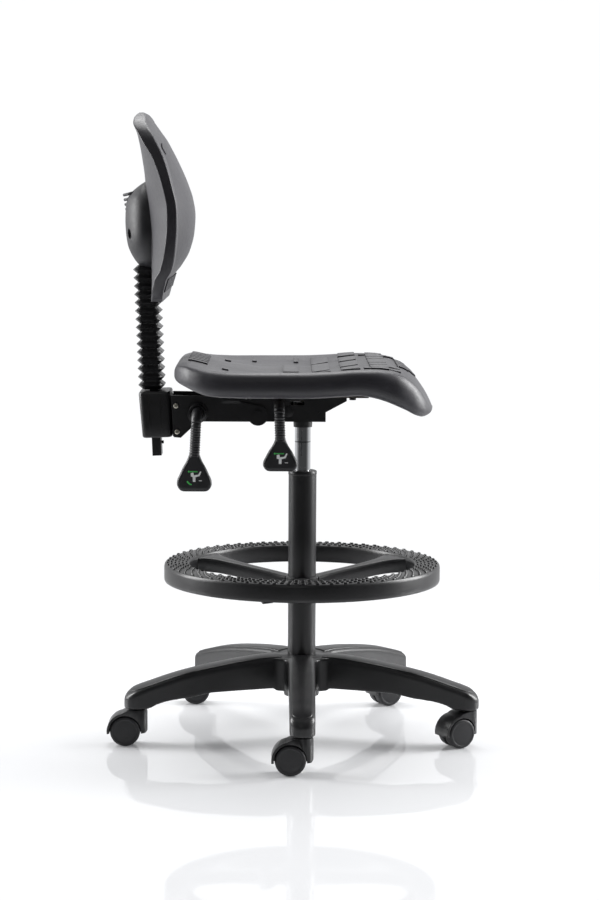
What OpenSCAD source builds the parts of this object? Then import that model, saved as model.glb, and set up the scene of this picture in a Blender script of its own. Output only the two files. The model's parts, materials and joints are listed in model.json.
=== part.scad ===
// Drafting chair: five-arm base on twin-wheel castors, gas lift with foot ring,
// two-lever operator mechanism, moulded polyurethane seat and height-adjustable back.
// Millimetres. Origin on the floor under the column axis, +X to the front of the seat, +Z up.

/* [Castors] */
// Castor wheel diameter
wheel_d = 53; // [44:1:66]
// Width of one castor wheel
wheel_w = 18; // [15:0.5:22]
// Distance from the swivel axis back to the wheel axle
castor_trail = 20; // [17:0.5:25]
// Castor stem diameter
stem_d = 11; // [9:0.5:13]

/* [Base] */
// Diameter of the circle through the castor stems
stem_circle_d = 612; // [500:2:740]
// Arm width at the hub
arm_w_hub = 49; // [46:1:59]
// Arm width at the tip
arm_w_tip = 44; // [40:1:53]
// Height of the hub top above the underside of the arm tips
hub_h = 80; // [70:1:96]

/* [Gas lift] */
// Outer tube diameter
tube_d = 50; // [42:0.5:60]
// Length of outer tube seen above the hub
tube_shown = 331; // [280:1:400]
// Chrome cylinder diameter
chrome_d = 28; // [24:0.5:34]
// Length of chrome seen between the tube and the seat mechanism
chrome_shown = 79; // [66:1:95]

/* [Foot ring] */
// Outside diameter of the foot ring
ring_d = 494; // [410:2:594]
// Radial width of the foot ring band
ring_band_w = 46; // [38:1:55]
// Height of the foot ring band
ring_band_h = 34; // [28:1:41]
// Height of the ring top above the base hub top
ring_rise = 168; // [150:1:190]

/* [Mechanism] */
// Outside width of the mechanism housing
mech_w = 88; // [74:1:106]
// Distance of the rake pivot behind the column axis
pivot_back = 79.5; // [72:0.5:88]
// Distance of the upright bar behind the column axis at the bracket
bar_back = 259.5; // [250:0.5:275]

/* [Seat] */
// Seat length, rear rim to front nose
seat_len = 451; // [390:1:541]
// Seat width
seat_w = 452; // [376:1:542]

/* [Back] */
// Backrest width
back_w = 410; // [342:1:492]
// Backrest height
back_h = 324; // [300:1:388]
// Upright bar width
bar_w = 40; // [34:0.5:48]
// Upright bar thickness
bar_t = 16; // [13.5:0.5:19.5]

/* [Hidden] */
$fn = 96;

nylon = [0.07, 0.07, 0.075];
black_steel = [0.05, 0.05, 0.055];
pu = [0.12, 0.12, 0.13];
chrome = [0.78, 0.79, 0.8];
zinc = [0.7, 0.68, 0.6];
rubber = [0.03, 0.03, 0.03];
ply = [0.1, 0.09, 0.08];

run = 0.06;      // radial running clearance of turning and sliding fits
gap = 0.3;       // clearance between plates that move past one another
eps = 1;         // overshoot of cutting tools

// ---- castors
castor_count = 5;
arm_a0 = 198;                              // direction of arm 1
arm_step = 360 / castor_count;
castor_turn = [180, 180, 209, 209, 183];   // trail direction of each castor as it stands
wheel_r = wheel_d / 2;
castor_h = wheel_d + 11;                   // top of the hood above the floor
hood_web = 5;                              // web between the two wheels
wheel_gap = 0.5;                           // side gap of a wheel to the web
axle_d = 6;
hood_gap = 1.6;                            // gap between tread and hood
hood_t = 4;
hood_half = hood_web / 2 + wheel_gap + wheel_w - 0.5;
axle_half = hood_web / 2 + wheel_gap + wheel_w - 4;
boss_r = 19;                               // rounded nose of the hood about the stem
stem_back = castor_trail - stem_d / 2;     // nearest the stem comes to the wheel axle
stem_over = 0.6;                           // gap between the stem foot and the treads
// stem length pressed into the hood, ending above the wheels
stem_in = castor_h - wheel_r - sqrt(wheel_r * wheel_r - stem_back * stem_back) - stem_over;
stem_up = 30;                              // stem length in the arm socket
stem_ring = 1;                             // gap between hood top and arm tip

// ---- base
stem_r = stem_circle_d / 2;
arm_z = castor_h + 2;
hub_top = arm_z + hub_h;
hub_r = max(46, tube_d / 2 + 18);
collar_r = tube_d / 2 + 3.5;
under_r = tube_d / 2 + 7;
wall = 3.5;
rib_t = 3;
kr = stem_r / 306;                         // arm profile scale along the arm
kh = hub_h / 80;                           // arm profile scale in height
tip_r = arm_w_tip / 2;

// ---- gas lift
tube_r = tube_d / 2;
tube_wall = 2;
taper_cut = 1;                             // radius lost over the seated end of the tube
tube_bot = arm_z + 6;
tube_top = hub_top + tube_shown;
chrome_r = chrome_d / 2;
chrome_wall = 2;
bush_len = 92;
floor_t = 4;
floor_z = tube_bot + 4;
lift_down = 35;
mech_z = tube_top + chrome_shown;          // bottom of the taper socket
bearing_h = 8;
shoulder_h = 4;
rod_r = 5;
neck_r = 4;
shoulder_top = floor_z + floor_t + bearing_h + shoulder_h;
cyl_bot = shoulder_top + lift_down + 5;
cyl_guide = 18;
cyl_taper = 1.0;
cyl_top = mech_z + 44;
cap_t = 22;
piston_h = 15;
piston_top = tube_top - 82;
pin_r = 3;
pin_len = 38;

// ---- foot ring
ring_r = ring_d / 2;
ring_in = ring_r - ring_band_w;
ring_top = hub_top + ring_rise;
ring_hub_r = tube_r + 4;
ring_hub_h = 46;
ring_hub_top = ring_top - 27;
ring_hub_bot = ring_hub_top - ring_hub_h;
spoke_count = 3;
spoke_a0 = 30;
spoke_w = 30;
knob_a = 210;                              // direction of the clamp knob
knob_r = 20;
knob_z = ring_hub_bot + 21;
knob_in = tube_r + 35;                     // inner face of the knob
knob_t = 22;
stud_r = 4;
boss_len = 28;

// ---- mechanism
plate = 3;
top_t = 4;
mech_half = mech_w / 2;
mech_bot = mech_z + 13;
seat_z = mech_z + 65;                      // top of the mechanism, seat rests here
mech_front = 40;
mech_rear = pivot_back + 62;
flange_half = mech_half + 62;
pivot_z = mech_z + 24;
pivot_r = 6;
lug_r = 18;
arm_in = mech_half + gap;                  // inner face of the back arm plates
arm_out = arm_in + plate;
socket_r0 = chrome_r + 2.5;
socket_r1 = chrome_r + 4.5;
socket_h = 38;
gusset_x = 77;
lock_reach = 45.7;                         // lock bolt distance from the rake pivot
lock_up = 10;                              // lock bolt angle above the level
lock_r = 5;
lock_x = -pivot_back - lock_reach * cos(lock_up);
lock_z = pivot_z + lock_reach * sin(lock_up);
rake_x = -bar_back + 73.5;                 // rake lever
rake_z = mech_z + 29;
gas_x = -42;                               // lift lever
gas_z = mech_z + 50;
lever_r = 4;
lever_hole = 7;
crank_up = 0.6;
crank_t = 3.5;
bolt_x = [-95, 86];                        // seat bolt rows
bolt_y = mech_half + 48;
bolt_r = 3;

// ---- upright bar frame
bar_lean = 2.48;                           // backward lean of the upright
bar_z0 = mech_z - 37;
bar_top = 410;
bar_bot = -14;
bar_wall = 2;
bar_fit = 0.08;
sleeve_t = 4;
sleeve_bot = 26;
sleeve_top = 93;
cover_front = 30;
cover_rear = 26.7;
cover_half = mech_half + 2;
cover_t = 3;
ear_t = 4;
ear_bot = 22;
ear_top = 88;
ear_u = cover_front + 9;
ear_r = 3;
ear_w = [30, 76];
notch_pitch = 12;
notch_count = 6;
notch_w0 = 46;

// ---- seat
kl = seat_len / 461;
insert_t = 12;
insert_half = min(150, seat_w / 2 - 50);
insert_x0 = -150;
insert_x1 = 112;
insert_mounts = 140;                       // fore-aft pitch of the armrest inserts

// ---- bellows
bel_z0 = seat_z + 3;
bel_z1 = mech_z + 286;
bel_half_x = 23;
bel_half_y = 37;
bel_deep = 7;
bel_skin = 1.5;
bel_back = 4;
bel_lap = 0.1;
ridge_count = 15;

// ---- back
back_z0 = mech_z + 227;                    // bottom edge of the backrest
kb = back_h / 324;
carrier_t = 4;
carrier_half = 46;
carrier_w0 = 330;                          // along the bar
carrier_h = 90;
insert_b = 6;
insert_bh = 90;                            // half width
insert_w0 = 326;
insert_h = 140;
dome_plan_r = 90;
dome_x = bar_back + 55.5;                  // rearmost of the dome
dome_front_r = 82;
dome_zc = mech_z + 353;
dome_wall = 3;
dome_screw_y = 42;
dome_screw_z = mech_z + 342;
back_screw_y = 34;
back_screw_w = [346, 404];

function lean_x(z) = -bar_back - (z - bar_z0) * tan(bar_lean);
function centre(r) = [for (k = [0:2]) (min([for (p = r) p[k]]) + max([for (p = r) p[k]])) / 2];
function ends(a, b, n) = [for (i = [0:n]) a + (b - a) * i / n];

module lean() {
    translate([-bar_back, 0, bar_z0])
        rotate([0, -bar_lean, 0])
            children();
}

// Upright slab drawn in x and z, extruded evenly either side of the centre plane.
module side(half) {
    rotate([90, 0, 0])
        linear_extrude(height = 2 * half, center = true)
            children();
}

module rrect(w, h, r) {
    square([w - 2 * r, h], center = true);
    square([w, h - 2 * r], center = true);
    for (sx = [-1, 1], sy = [-1, 1])
        translate([sx * (w / 2 - r), sy * (h / 2 - r)])
            circle(r);
}

module rbox(w, d, h, r) {
    linear_extrude(height = h)
        rrect(w, d, r);
}

// Closed skin through rings of equal point count.
module loft(rings) {
    n = len(rings[0]);
    m = len(rings);
    pts = [for (r = rings, p = r) p];
    sides = [for (i = [0:m - 2], j = [0:n - 1])
        [i * n + j, i * n + (j + 1) % n, (i + 1) * n + (j + 1) % n, (i + 1) * n + j]];
    tris = [for (q = sides, k = [0, 1])
        k == 0 ? [q[0], q[1], q[2]] : [q[0], q[2], q[3]]];
    caps = [centre(rings[0]), centre(rings[m - 1])];
    first = [for (j = [0:n - 1]) [m * n, (j + 1) % n, j]];
    last = [for (j = [0:n - 1]) [m * n + 1, (m - 1) * n + j, (m - 1) * n + (j + 1) % n]];
    polyhedron(points = concat(pts, caps), faces = concat(tris, first, last), convexity = 6);
}

// ================= base =================

function arm_top(k) = [
    [0, 79.8 * k], [60, 79 * k], [120, 74 * k], [165, 68 * k], [208, 61 * k], [254, 50 * k],
    [295, 39 * k], [311, 33 * k], [322, 26 * k], [332, 13 * k]];
arm_under = [[332, 0], [290, 0], [273, 7], [245, 13], [219, 16], [170, 22], [72, 23], [0, 20]];

module arm_side() {
    polygon([for (p = concat(arm_top(kh), arm_under)) [p[0] * kr, arm_z + p[1]]]);
}

module arm_plan(inset) {
    a = arm_w_hub / 2 - inset;
    b = arm_w_tip / 2 - inset;
    polygon([[0, -a], [stem_r, -b], [stem_r, b], [0, a]]);
    translate([stem_r, 0])
        circle(b);
}

module arm_solid() {
    intersection() {
        side(arm_w_hub)
            arm_side();
        linear_extrude(height = hub_top + eps)
            arm_plan(0);
    }
}

// Open underside of an arm, split by two cross ribs.
module arm_hollow() {
    intersection() {
        translate([0, 0, -wall])
            side(arm_w_hub)
                polygon([
                    [0, 0], [stem_r, 0],
                    for (i = [len(arm_top(kh)) - 4:-1:0])
                        [arm_top(kh)[i][0] * kr, arm_z + arm_top(kh)[i][1]]]);
        linear_extrude(height = hub_top)
            arm_plan(wall);
        r0 = hub_r + 2;
        r1 = stem_r - stem_d - 6;
        cell = (r1 - r0 - 2 * rib_t) / 3;
        for (i = [0:2])
            translate([r0 + i * (cell + rib_t), -arm_w_hub, 0])
                cube([cell, 2 * arm_w_hub, hub_top]);
    }
}

module star_base() color(nylon) {
    difference() {
        union() {
            for (i = [0:castor_count - 1])
                rotate([0, 0, arm_a0 + i * arm_step])
                    difference() {
                        arm_solid();
                        arm_hollow();
                    }
            translate([0, 0, arm_z + 20])
                cylinder(r = hub_r, h = hub_h - 24);
            translate([0, 0, arm_z + 4])
                cylinder(r = under_r, h = hub_h - 4);
        }
        translate([0, 0, tube_bot])
            cylinder(r1 = tube_r - taper_cut, r2 = tube_r, h = hub_top - tube_bot);
        translate([0, 0, arm_z - eps])
            cylinder(r = tube_r - taper_cut - 3, h = tube_bot - arm_z + 2 * eps);
        translate([0, 0, hub_top])
            cylinder(r = tube_r, h = eps);
        for (i = [0:castor_count - 1])
            rotate([0, 0, arm_a0 + i * arm_step])
                translate([stem_r, 0, arm_z - eps])
                    cylinder(r = stem_d / 2 + run, h = stem_up + 2 + eps);
    }
}

// ================= castors =================

module at_castor(i) {
    a = arm_a0 + i * arm_step;
    translate([stem_r * cos(a), stem_r * sin(a), 0])
        rotate([0, 0, castor_turn[i]])
            children();
}

module castor_stem(i) color(zinc) at_castor(i) {
    difference() {
        translate([0, 0, castor_h - stem_in])
            cylinder(r = stem_d / 2, h = stem_in + stem_ring + stem_up);
        translate([0, 0, castor_h + stem_up - 8])
            rotate_extrude()
                translate([stem_d / 2, 0])
                    circle(0.8);
    }
    translate([0, 0, castor_h])
        cylinder(r = stem_d / 2 + 3, h = stem_ring);
}

module hood_outline() {
    difference() {
        union() {
            translate([castor_trail, wheel_r])
                circle(wheel_r + hood_gap + hood_t);
            translate([-boss_r, wheel_r - 2])
                square([boss_r + castor_trail, castor_h - wheel_r + 2]);
        }
        translate([-boss_r - eps, -eps])
            square([4 * wheel_r + boss_r, wheel_r - 4 + eps]);
    }
}

module castor_hood(i) color(nylon) at_castor(i) {
    difference() {
        intersection() {
            side(hood_half)
                hood_outline();
            linear_extrude(height = castor_h + eps) {
                circle(boss_r + 0.5);
                translate([0, -hood_half])
                    square([castor_trail + wheel_d, 2 * hood_half]);
            }
        }
        for (s = [-1, 1])
            translate([castor_trail, s * (hood_web / 2 + wheel_w), wheel_r])
                rotate([90, 0, 0])
                    cylinder(r = wheel_r + hood_gap, h = 2 * wheel_w, center = true);
        translate([castor_trail, 0, wheel_r])
            rotate([90, 0, 0])
                cylinder(r = axle_d / 2, h = 2 * hood_half, center = true);
        translate([0, 0, castor_h - stem_in])
            cylinder(r = stem_d / 2, h = stem_in + eps);
    }
}

module castor_axle(i) color(zinc) at_castor(i)
    translate([castor_trail, 0, wheel_r])
        rotate([90, 0, 0])
            cylinder(r = axle_d / 2, h = 2 * axle_half, center = true);

module castor_wheel(i, s) color(nylon) at_castor(i)
    translate([castor_trail, s * (hood_web / 2 + wheel_gap), wheel_r])
        rotate([-s * 90, 0, 0])
            difference() {
                rotate_extrude()
                    polygon([[0, 0], [wheel_r - 1, 0], [wheel_r, 1], [wheel_r, wheel_w - 3],
                        [wheel_r - 1, wheel_w - 1], [wheel_r - 4, wheel_w], [0, wheel_w]]);
                translate([0, 0, -eps])
                    cylinder(r = axle_d / 2 + run, h = wheel_w - 3 + eps);
            }

// ================= gas lift =================

module gas_tube() color(black_steel) difference() {
    union() {
        translate([0, 0, tube_bot])
            cylinder(r1 = tube_r - taper_cut, r2 = tube_r, h = hub_top - tube_bot);
        translate([0, 0, hub_top])
            cylinder(r = tube_r, h = tube_shown);
    }
    translate([0, 0, floor_z + floor_t])
        cylinder(r = tube_r - tube_wall - taper_cut, h = hub_top - floor_z);
    translate([0, 0, hub_top])
        cylinder(r = tube_r - tube_wall, h = tube_shown + eps);
    translate([0, 0, floor_z - eps])
        cylinder(r = rod_r + 1, h = floor_t + 2 * eps);
    translate([0, 0, tube_bot - eps])
        cylinder(r = tube_r - 2 * tube_wall - taper_cut, h = floor_z - tube_bot + eps);
}

module guide_bush() color(nylon) difference() {
    translate([0, 0, tube_top - bush_len])
        cylinder(r = tube_r - tube_wall, h = bush_len + 1);
    translate([0, 0, tube_top - bush_len - eps])
        cylinder(r = chrome_r + run, h = bush_len + 1 + 2 * eps);
}

module thrust_bearing() color(zinc) difference() {
    translate([0, 0, floor_z + floor_t])
        cylinder(r = rod_r + 8, h = bearing_h);
    translate([0, 0, floor_z])
        cylinder(r = rod_r + run, h = floor_t + bearing_h + eps);
    translate([0, 0, floor_z + floor_t + bearing_h / 2])
        rotate_extrude()
            translate([rod_r + 8, 0])
                circle(1.5);
}

module piston_rod() color(chrome) {
    translate([0, 0, tube_bot + 1])
        cylinder(r = neck_r, h = floor_z - tube_bot - 1);
    translate([0, 0, floor_z])
        cylinder(r = rod_r, h = piston_top - floor_z);
    translate([0, 0, floor_z + floor_t + bearing_h + 0.1])
        cylinder(r = rod_r + 3, h = shoulder_h - 0.1);
    translate([0, 0, piston_top - piston_h])
        cylinder(r = chrome_r - chrome_wall - run, h = piston_h);
}

module retaining_clip() color(zinc) difference() {
    translate([0, 0, tube_bot + 1.6])
        cylinder(r = rod_r + 4, h = 2);
    translate([0, 0, tube_bot])
        cylinder(r = neck_r, h = 6);
    translate([-1.5, 0, tube_bot])
        cube([3, 2 * rod_r + 6, 6]);
}

module gas_cylinder() color(chrome) difference() {
    union() {
        translate([0, 0, cyl_bot])
            cylinder(r = chrome_r, h = mech_z - cyl_bot);
        translate([0, 0, mech_z])
            cylinder(r1 = chrome_r, r2 = chrome_r - cyl_taper, h = cyl_top - mech_z);
    }
    translate([0, 0, cyl_bot - eps])
        cylinder(r = rod_r + run, h = cyl_guide + 2 * eps);
    translate([0, 0, cyl_bot + cyl_guide])
        cylinder(r = chrome_r - chrome_wall, h = cyl_top - cap_t - cyl_bot - cyl_guide);
    translate([0, 0, cyl_top - cap_t - eps])
        cylinder(r = pin_r + run, h = cap_t + 2 * eps);
    translate([0, 0, mech_z - 26.5])
        rotate_extrude()
            translate([chrome_r, 0])
                circle(0.6);
}

module release_pin() color(zinc)
    translate([0, 0, gas_z + crank_up - 0.2 - pin_len])
        cylinder(r = pin_r, h = pin_len);

// ================= foot ring =================

module spoke() {
    r0 = ring_hub_r - 2;
    r1 = ring_in + 4;
    side(spoke_w / 2)
        polygon([[r0, ring_hub_top - 1], [r1 - 40, ring_top - 9], [r1, ring_top - 6],
            [r1, ring_top - ring_band_h + 4], [r1 - 40, ring_top - 26], [r0, ring_hub_top - 26]]);
}

module foot_ring() color(nylon) difference() {
    union() {
        rotate_extrude()
            difference() {
                translate([ring_r - ring_band_w / 2, ring_top - ring_band_h / 2])
                    rrect(ring_band_w, ring_band_h, 7);
                translate([ring_in + 4, ring_top - ring_band_h - eps])
                    square([ring_band_w - 8, ring_band_h - 5 + eps]);
            }
        for (i = [0:spoke_count - 1])
            rotate([0, 0, spoke_a0 + i * 360 / spoke_count])
                spoke();
        translate([0, 0, ring_hub_bot])
            cylinder(r = ring_hub_r, h = ring_hub_h);
        rotate([0, 0, knob_a])
            translate([0, 0, knob_z])
                rotate([0, 90, 0])
                    cylinder(r = 12, h = tube_r + boss_len);
    }
    translate([0, 0, ring_hub_bot - eps])
        cylinder(r = tube_r + run, h = ring_hub_h + 2 * eps);
    rotate([0, 0, knob_a])
        translate([0, 0, knob_z])
            rotate([0, 90, 0])
                cylinder(r = stud_r + run, h = tube_r + boss_len + eps);
}

module ring_knob() color(nylon)
    rotate([0, 0, knob_a])
        translate([0, 0, knob_z])
            rotate([0, 90, 0]) {
                translate([0, 0, tube_r + 0.6])
                    cylinder(r = stud_r, h = knob_in - tube_r);
                translate([0, 0, tube_r + boss_len + 0.5])
                    cylinder(r = 9, h = knob_in - tube_r - boss_len + 1);
                difference() {
                    translate([0, 0, knob_in])
                        cylinder(r = knob_r, h = knob_t);
                    for (i = [0:5])
                        rotate([0, 0, i * 60 + 30])
                            translate([knob_r + 3, 0, knob_in - eps])
                                cylinder(r = 6, h = knob_t + 2 * eps);
                }
            }

// ================= seat mechanism =================

// Pressed steel tray with its side flanges and the welded socket of the gas lift.
module mechanism_housing() color(black_steel) {
    difference() {
        union() {
            translate([-mech_rear, -mech_half, seat_z - top_t])
                cube([mech_rear + gusset_x, mech_w, top_t]);
            for (bx = bolt_x)
                translate([bx - 16, -flange_half, seat_z - top_t])
                    cube([32, 2 * flange_half, top_t]);
            // side plates with a gusset in front
            for (s = [-1, 1])
                translate([0, s * (mech_half - plate / 2), 0])
                    side(plate / 2)
                        polygon([[-mech_rear, seat_z - top_t], [-mech_rear, mech_bot + 14],
                            [-mech_rear + 22, mech_bot], [mech_front, mech_bot],
                            [mech_front, mech_bot + 17], [gusset_x, seat_z - 15],
                            [gusset_x, seat_z - top_t]]);
            // front wall and the cross wall around the socket
            translate([mech_front - plate, -mech_half, mech_bot])
                cube([plate, mech_w, seat_z - top_t - mech_bot]);
            translate([-socket_r1 - 8, -mech_half, mech_bot + 20])
                cube([2 * socket_r1 + 16, mech_w, plate]);
            translate([0, 0, mech_z])
                cylinder(r1 = socket_r0, r2 = socket_r1, h = socket_h);
        }
        translate([0, 0, mech_z])
            cylinder(r1 = chrome_r, r2 = chrome_r - cyl_taper, h = cyl_top - mech_z);
        translate([0, 0, mech_z - eps])
            cylinder(r = chrome_r, h = eps);
        for (bx = bolt_x, s = [-1, 1])
            translate([bx, s * bolt_y, seat_z - top_t - eps])
                cylinder(r = bolt_r + 0.2, h = top_t + 2 * eps);
        translate([-pivot_back, 0, pivot_z])
            rotate([90, 0, 0])
                cylinder(r = pivot_r, h = mech_w + 2 * eps, center = true);
        // arc slots of the lock bolt
        translate([-pivot_back, 0, pivot_z])
            side(mech_half + eps)
                intersection() {
                    difference() {
                        circle(lock_reach + lock_r + 1);
                        circle(lock_reach - lock_r - 1);
                    }
                    polygon([[0, 0], [-100, 100 * tan(22)], [-100, -100 * tan(20)]]);
                }
        // small side hole, long slot and the hole of the lift lever
        translate([27.7, 0, mech_z + 30])
            rotate([90, 0, 0])
                cylinder(r = 1.6, h = mech_w + 2 * eps, center = true);
        translate([-22, -mech_half - eps, mech_z + 42])
            cube([24, mech_w + 2 * eps, 8]);
        translate([gas_x, -mech_half, gas_z])
            rotate([90, 0, 0])
                cylinder(r = lever_hole, h = 3 * plate, center = true);
    }
}

module rake_pivot() color(black_steel)
    translate([-pivot_back, 0, pivot_z])
        rotate([90, 0, 0]) {
            cylinder(r = pivot_r, h = 2 * arm_out + 2 * gap, center = true);
            for (s = [-1, 1])
                translate([0, 0, s * (arm_out + gap + 1.5)])
                    cylinder(r = 9, h = 3, center = true);
        }

module seat_bolts() color(black_steel)
    for (bx = bolt_x, s = [-1, 1])
        translate([bx, s * bolt_y, 0]) {
            translate([0, 0, seat_z - top_t - 4.5])
                cylinder(r = 5.77, h = 4.5, $fn = 6);
            translate([0, 0, seat_z - top_t - eps])
                cylinder(r = bolt_r, h = top_t + insert_t - 1 + eps);
        }

// ================= seat =================

module seat_insert() color(ply) difference() {
    translate([insert_x0, -insert_half, seat_z])
        cube([insert_x1 - insert_x0, 2 * insert_half, insert_t]);
    translate([0, 0, seat_z - eps])
        cylinder(r = pin_r + 4, h = insert_t / 2 + eps);
    for (bx = bolt_x, s = [-1, 1])
        translate([bx, s * bolt_y, seat_z - eps])
            cylinder(r = bolt_r, h = insert_t + 2 * eps);
    // spare threaded inserts for a pair of armrests
    for (k = [-1, 1], s = [-1, 1])
        translate([-8 + k * insert_mounts / 2, s * (insert_half - 14), seat_z - eps])
            cylinder(r = 3.5, h = insert_t - 1 + eps);
}

// Height of the seat skin above the mechanism top, along the length, at the middle and the rims.
seat_mid_top = [[-231, 36], [-227, 49], [-218, 57], [-205, 60], [-185, 56.5], [-160, 50], [-120, 43],
    [-60, 37], [0, 37], [50, 41], [90, 47], [122, 51], [150, 51], [176, 46], [197, 32],
    [215, 11], [226, -8], [230, -18]];
seat_rim_top = [[-231, 36], [-227, 48], [-218, 54], [-205, 55], [-185, 52], [-160, 49], [-120, 47.5],
    [0, 48], [50, 50], [96, 53], [122, 53], [150, 50], [173, 42], [195, 26], [209, 9],
    [221, -10], [230, -18]];
seat_under = [[-231, 31], [-222, 25], [-209, 20], [-189, 12], [-167, 6], [-140, 4], [-108, 3.5],
    [0, 3.5], [70, 7], [95, 8.5], [115, 6], [135, 1], [176, -16], [197, -27], [208, -30],
    [222, -26], [230, -20]];
seat_half = [[-231, 0.3], [-229, 0.46], [-224, 0.62], [-215, 0.74], [-200, 0.84], [-175, 0.92],
    [-140, 0.97], [-80, 1], [60, 1], [120, 0.985], [160, 0.95], [190, 0.88], [208, 0.8],
    [220, 0.69], [227, 0.56], [230, 0.42]];
seat_x = concat([-231, -229, -227, -224, -218, -210, -200, -185], ends(-170, 170, 17),
    [182, 192, 200, 208, 215, 221, 226, 229, 230]);
seat_pts = 14;

// Ring of skin points at one station: rounded rims, dished top.
function seat_ring(x) =
    let (w = lookup(x, seat_half) * seat_w / 2,
        zm = lookup(x, seat_mid_top),
        zr = lookup(x, seat_rim_top),
        zu = lookup(x, seat_under),
        e = min(20, (zr - zu) * 0.5, w * 0.5),
        c = w - e)
    concat(
        [for (i = [0:seat_pts]) let (y = -c + 2 * c * i / seat_pts, k = (y / c) * (y / c))
            [x * kl, y, seat_z + zm + (zr - zm) * k]],
        [for (i = [1:5]) let (a = 90 - 30 * i)
            [x * kl, c + e * cos(a), seat_z + (zr + zu) / 2 + (zr - zu) / 2 * sin(a)]],
        [for (i = [0:seat_pts]) let (y = c - 2 * c * i / seat_pts)
            [x * kl, y, seat_z + zu]],
        [for (i = [1:5]) let (a = 270 - 30 * i)
            [x * kl, -c + e * cos(a), seat_z + (zr + zu) / 2 + (zr - zu) / 2 * sin(a)]]);

module seat_pad() color(pu) difference() {
    loft([for (x = seat_x) [for (p = seat_ring(x)) p]]);
    translate([insert_x0 - 1, -insert_half - 1, seat_z - 10])
        cube([insert_x1 - insert_x0 + 2, 2 * insert_half + 2, 10 + insert_t]);
}

// ================= levers =================

grip_r = 9;
gas_out = 128;                             // how far the levers reach out and hang down
gas_drop = 66;
rake_out = 96;
rake_drop = 74;
grip_in = mech_half + 12;
paddle_half = 6;

module lever_rod(x, z, y_in, y_out, drop) {
    translate([x, -y_in, z])
        rotate([90, 0, 0])
            cylinder(r = lever_r, h = y_out - y_in);
    translate([x, -y_out, z])
        sphere(r = lever_r);
    translate([x, -y_out, z - drop])
        cylinder(r = lever_r, h = drop);
}

// Cross pin that a lever tips on, held in the round hole of the side plate.
module lever_pin(x, y, z) {
    translate([x, -y, z])
        rotate([0, 90, 0])
            cylinder(r = 2, h = 2 * lever_hole - 1.4, center = true);
}

// Ribbed sleeve and flat paddle moulded as one piece over the rod.
module lever_grip(x, z, y_in, y_out, drop, pad_w, pad_h) {
    difference() {
        union() {
            translate([x, -y_in, z])
                rotate([90, 0, 0])
                    cylinder(r = grip_r, h = y_out - y_in);
            translate([x, -y_out, z])
                sphere(r = grip_r);
            translate([x, -y_out, z - drop + 2])
                cylinder(r = grip_r, h = drop - 2);
            translate([x, -y_out, z - drop])
                side(paddle_half)
                    polygon([[-grip_r, 8], [grip_r, 8], [pad_w * 0.36, -pad_h * 0.42],
                        [pad_w / 2, -pad_h * 0.72], [pad_w / 2 - 2, -pad_h * 0.9],
                        [pad_w * 0.38, -pad_h], [-pad_w * 0.38, -pad_h],
                        [-pad_w / 2 + 2, -pad_h * 0.9], [-pad_w / 2, -pad_h * 0.72],
                        [-pad_w * 0.36, -pad_h * 0.42]]);
        }
        lever_rod(x, z, y_in - 40, y_out, drop - 4);
    }
}

// The lift lever carries a crank that reaches over the valve pin.
module gas_lever() color(zinc) {
    inner = 20;
    lever_rod(gas_x, gas_z, inner, gas_out, gas_drop - 4);
    lever_pin(gas_x, mech_half - plate / 2, gas_z);
    translate([gas_x - lever_r, -inner - 5, gas_z + crank_up])
        cube([-gas_x + lever_r - 4, 10, crank_t]);
    translate([-5, -inner - 5, gas_z + crank_up])
        cube([10, inner + 8, crank_t]);
}

module gas_grip() color(rubber)
    lever_grip(gas_x, gas_z, grip_in, gas_out, gas_drop, 60, 49);

module rake_lever() color(zinc) {
    lever_rod(rake_x, rake_z, arm_in - 12, rake_out, rake_drop - 4);
    lever_pin(rake_x, arm_in + plate / 2, rake_z);
}

module rake_grip() color(rubber)
    lever_grip(rake_x, rake_z, grip_in, rake_out, rake_drop, 61, 60);

// ================= back arm =================

module back_arm_outline() {
    rear = -bar_back + cover_front;
    translate([-pivot_back, pivot_z])
        circle(lug_r);
    polygon([[-pivot_back, pivot_z + lug_r], [-mech_rear, seat_z - 11], [-mech_rear - 18, seat_z - 7],
        [rear - 4, seat_z - 6], [rear + 1.5, mech_z - 15], [rear + 14, mech_z - 16],
        [rear + 45, mech_bot], [-pivot_back, mech_bot]]);
}

module back_arm() color(black_steel) difference() {
    union() {
        for (s = [-1, 1])
            translate([0, s * (arm_in + plate / 2), 0])
                side(plate / 2)
                    back_arm_outline();
        translate([-bar_back + 52, -arm_in - 1, mech_bot])
            cube([40, 2 * arm_in + 2, plate]);
    }
    translate([-pivot_back, 0, pivot_z])
        rotate([90, 0, 0])
            cylinder(r = pivot_r + run, h = 3 * mech_w, center = true);
    translate([lock_x, 0, lock_z])
        rotate([90, 0, 0])
            cylinder(r = lock_r, h = 3 * mech_w, center = true);
    translate([rake_x, -arm_out, rake_z])
        rotate([90, 0, 0])
            cylinder(r = lever_hole, h = 3 * plate, center = true);
    lean() {
        translate([cover_front - 60, -arm_out - eps, -60])
            cube([60, 2 * arm_out + 2 * eps, 200]);
        for (w = ear_w)
            translate([ear_u, 0, w])
                rotate([90, 0, 0])
                    cylinder(r = ear_r, h = 3 * mech_w, center = true);
    }
}

module lock_bolt() color(black_steel)
    translate([lock_x, 0, lock_z])
        rotate([90, 0, 0])
            cylinder(r = lock_r, h = 2 * arm_out, center = true);

module lever_boot() color(rubber)
    translate([rake_x, -arm_out, rake_z])
        rotate([90, 0, 0])
            difference() {
                rotate_extrude()
                    polygon([[0, 0], [19, 0], [19, 3], [15, 6.4], [0, 6.4]]);
                translate([0, 0, -eps])
                    cylinder(r = 11, h = 10);
            }

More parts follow.
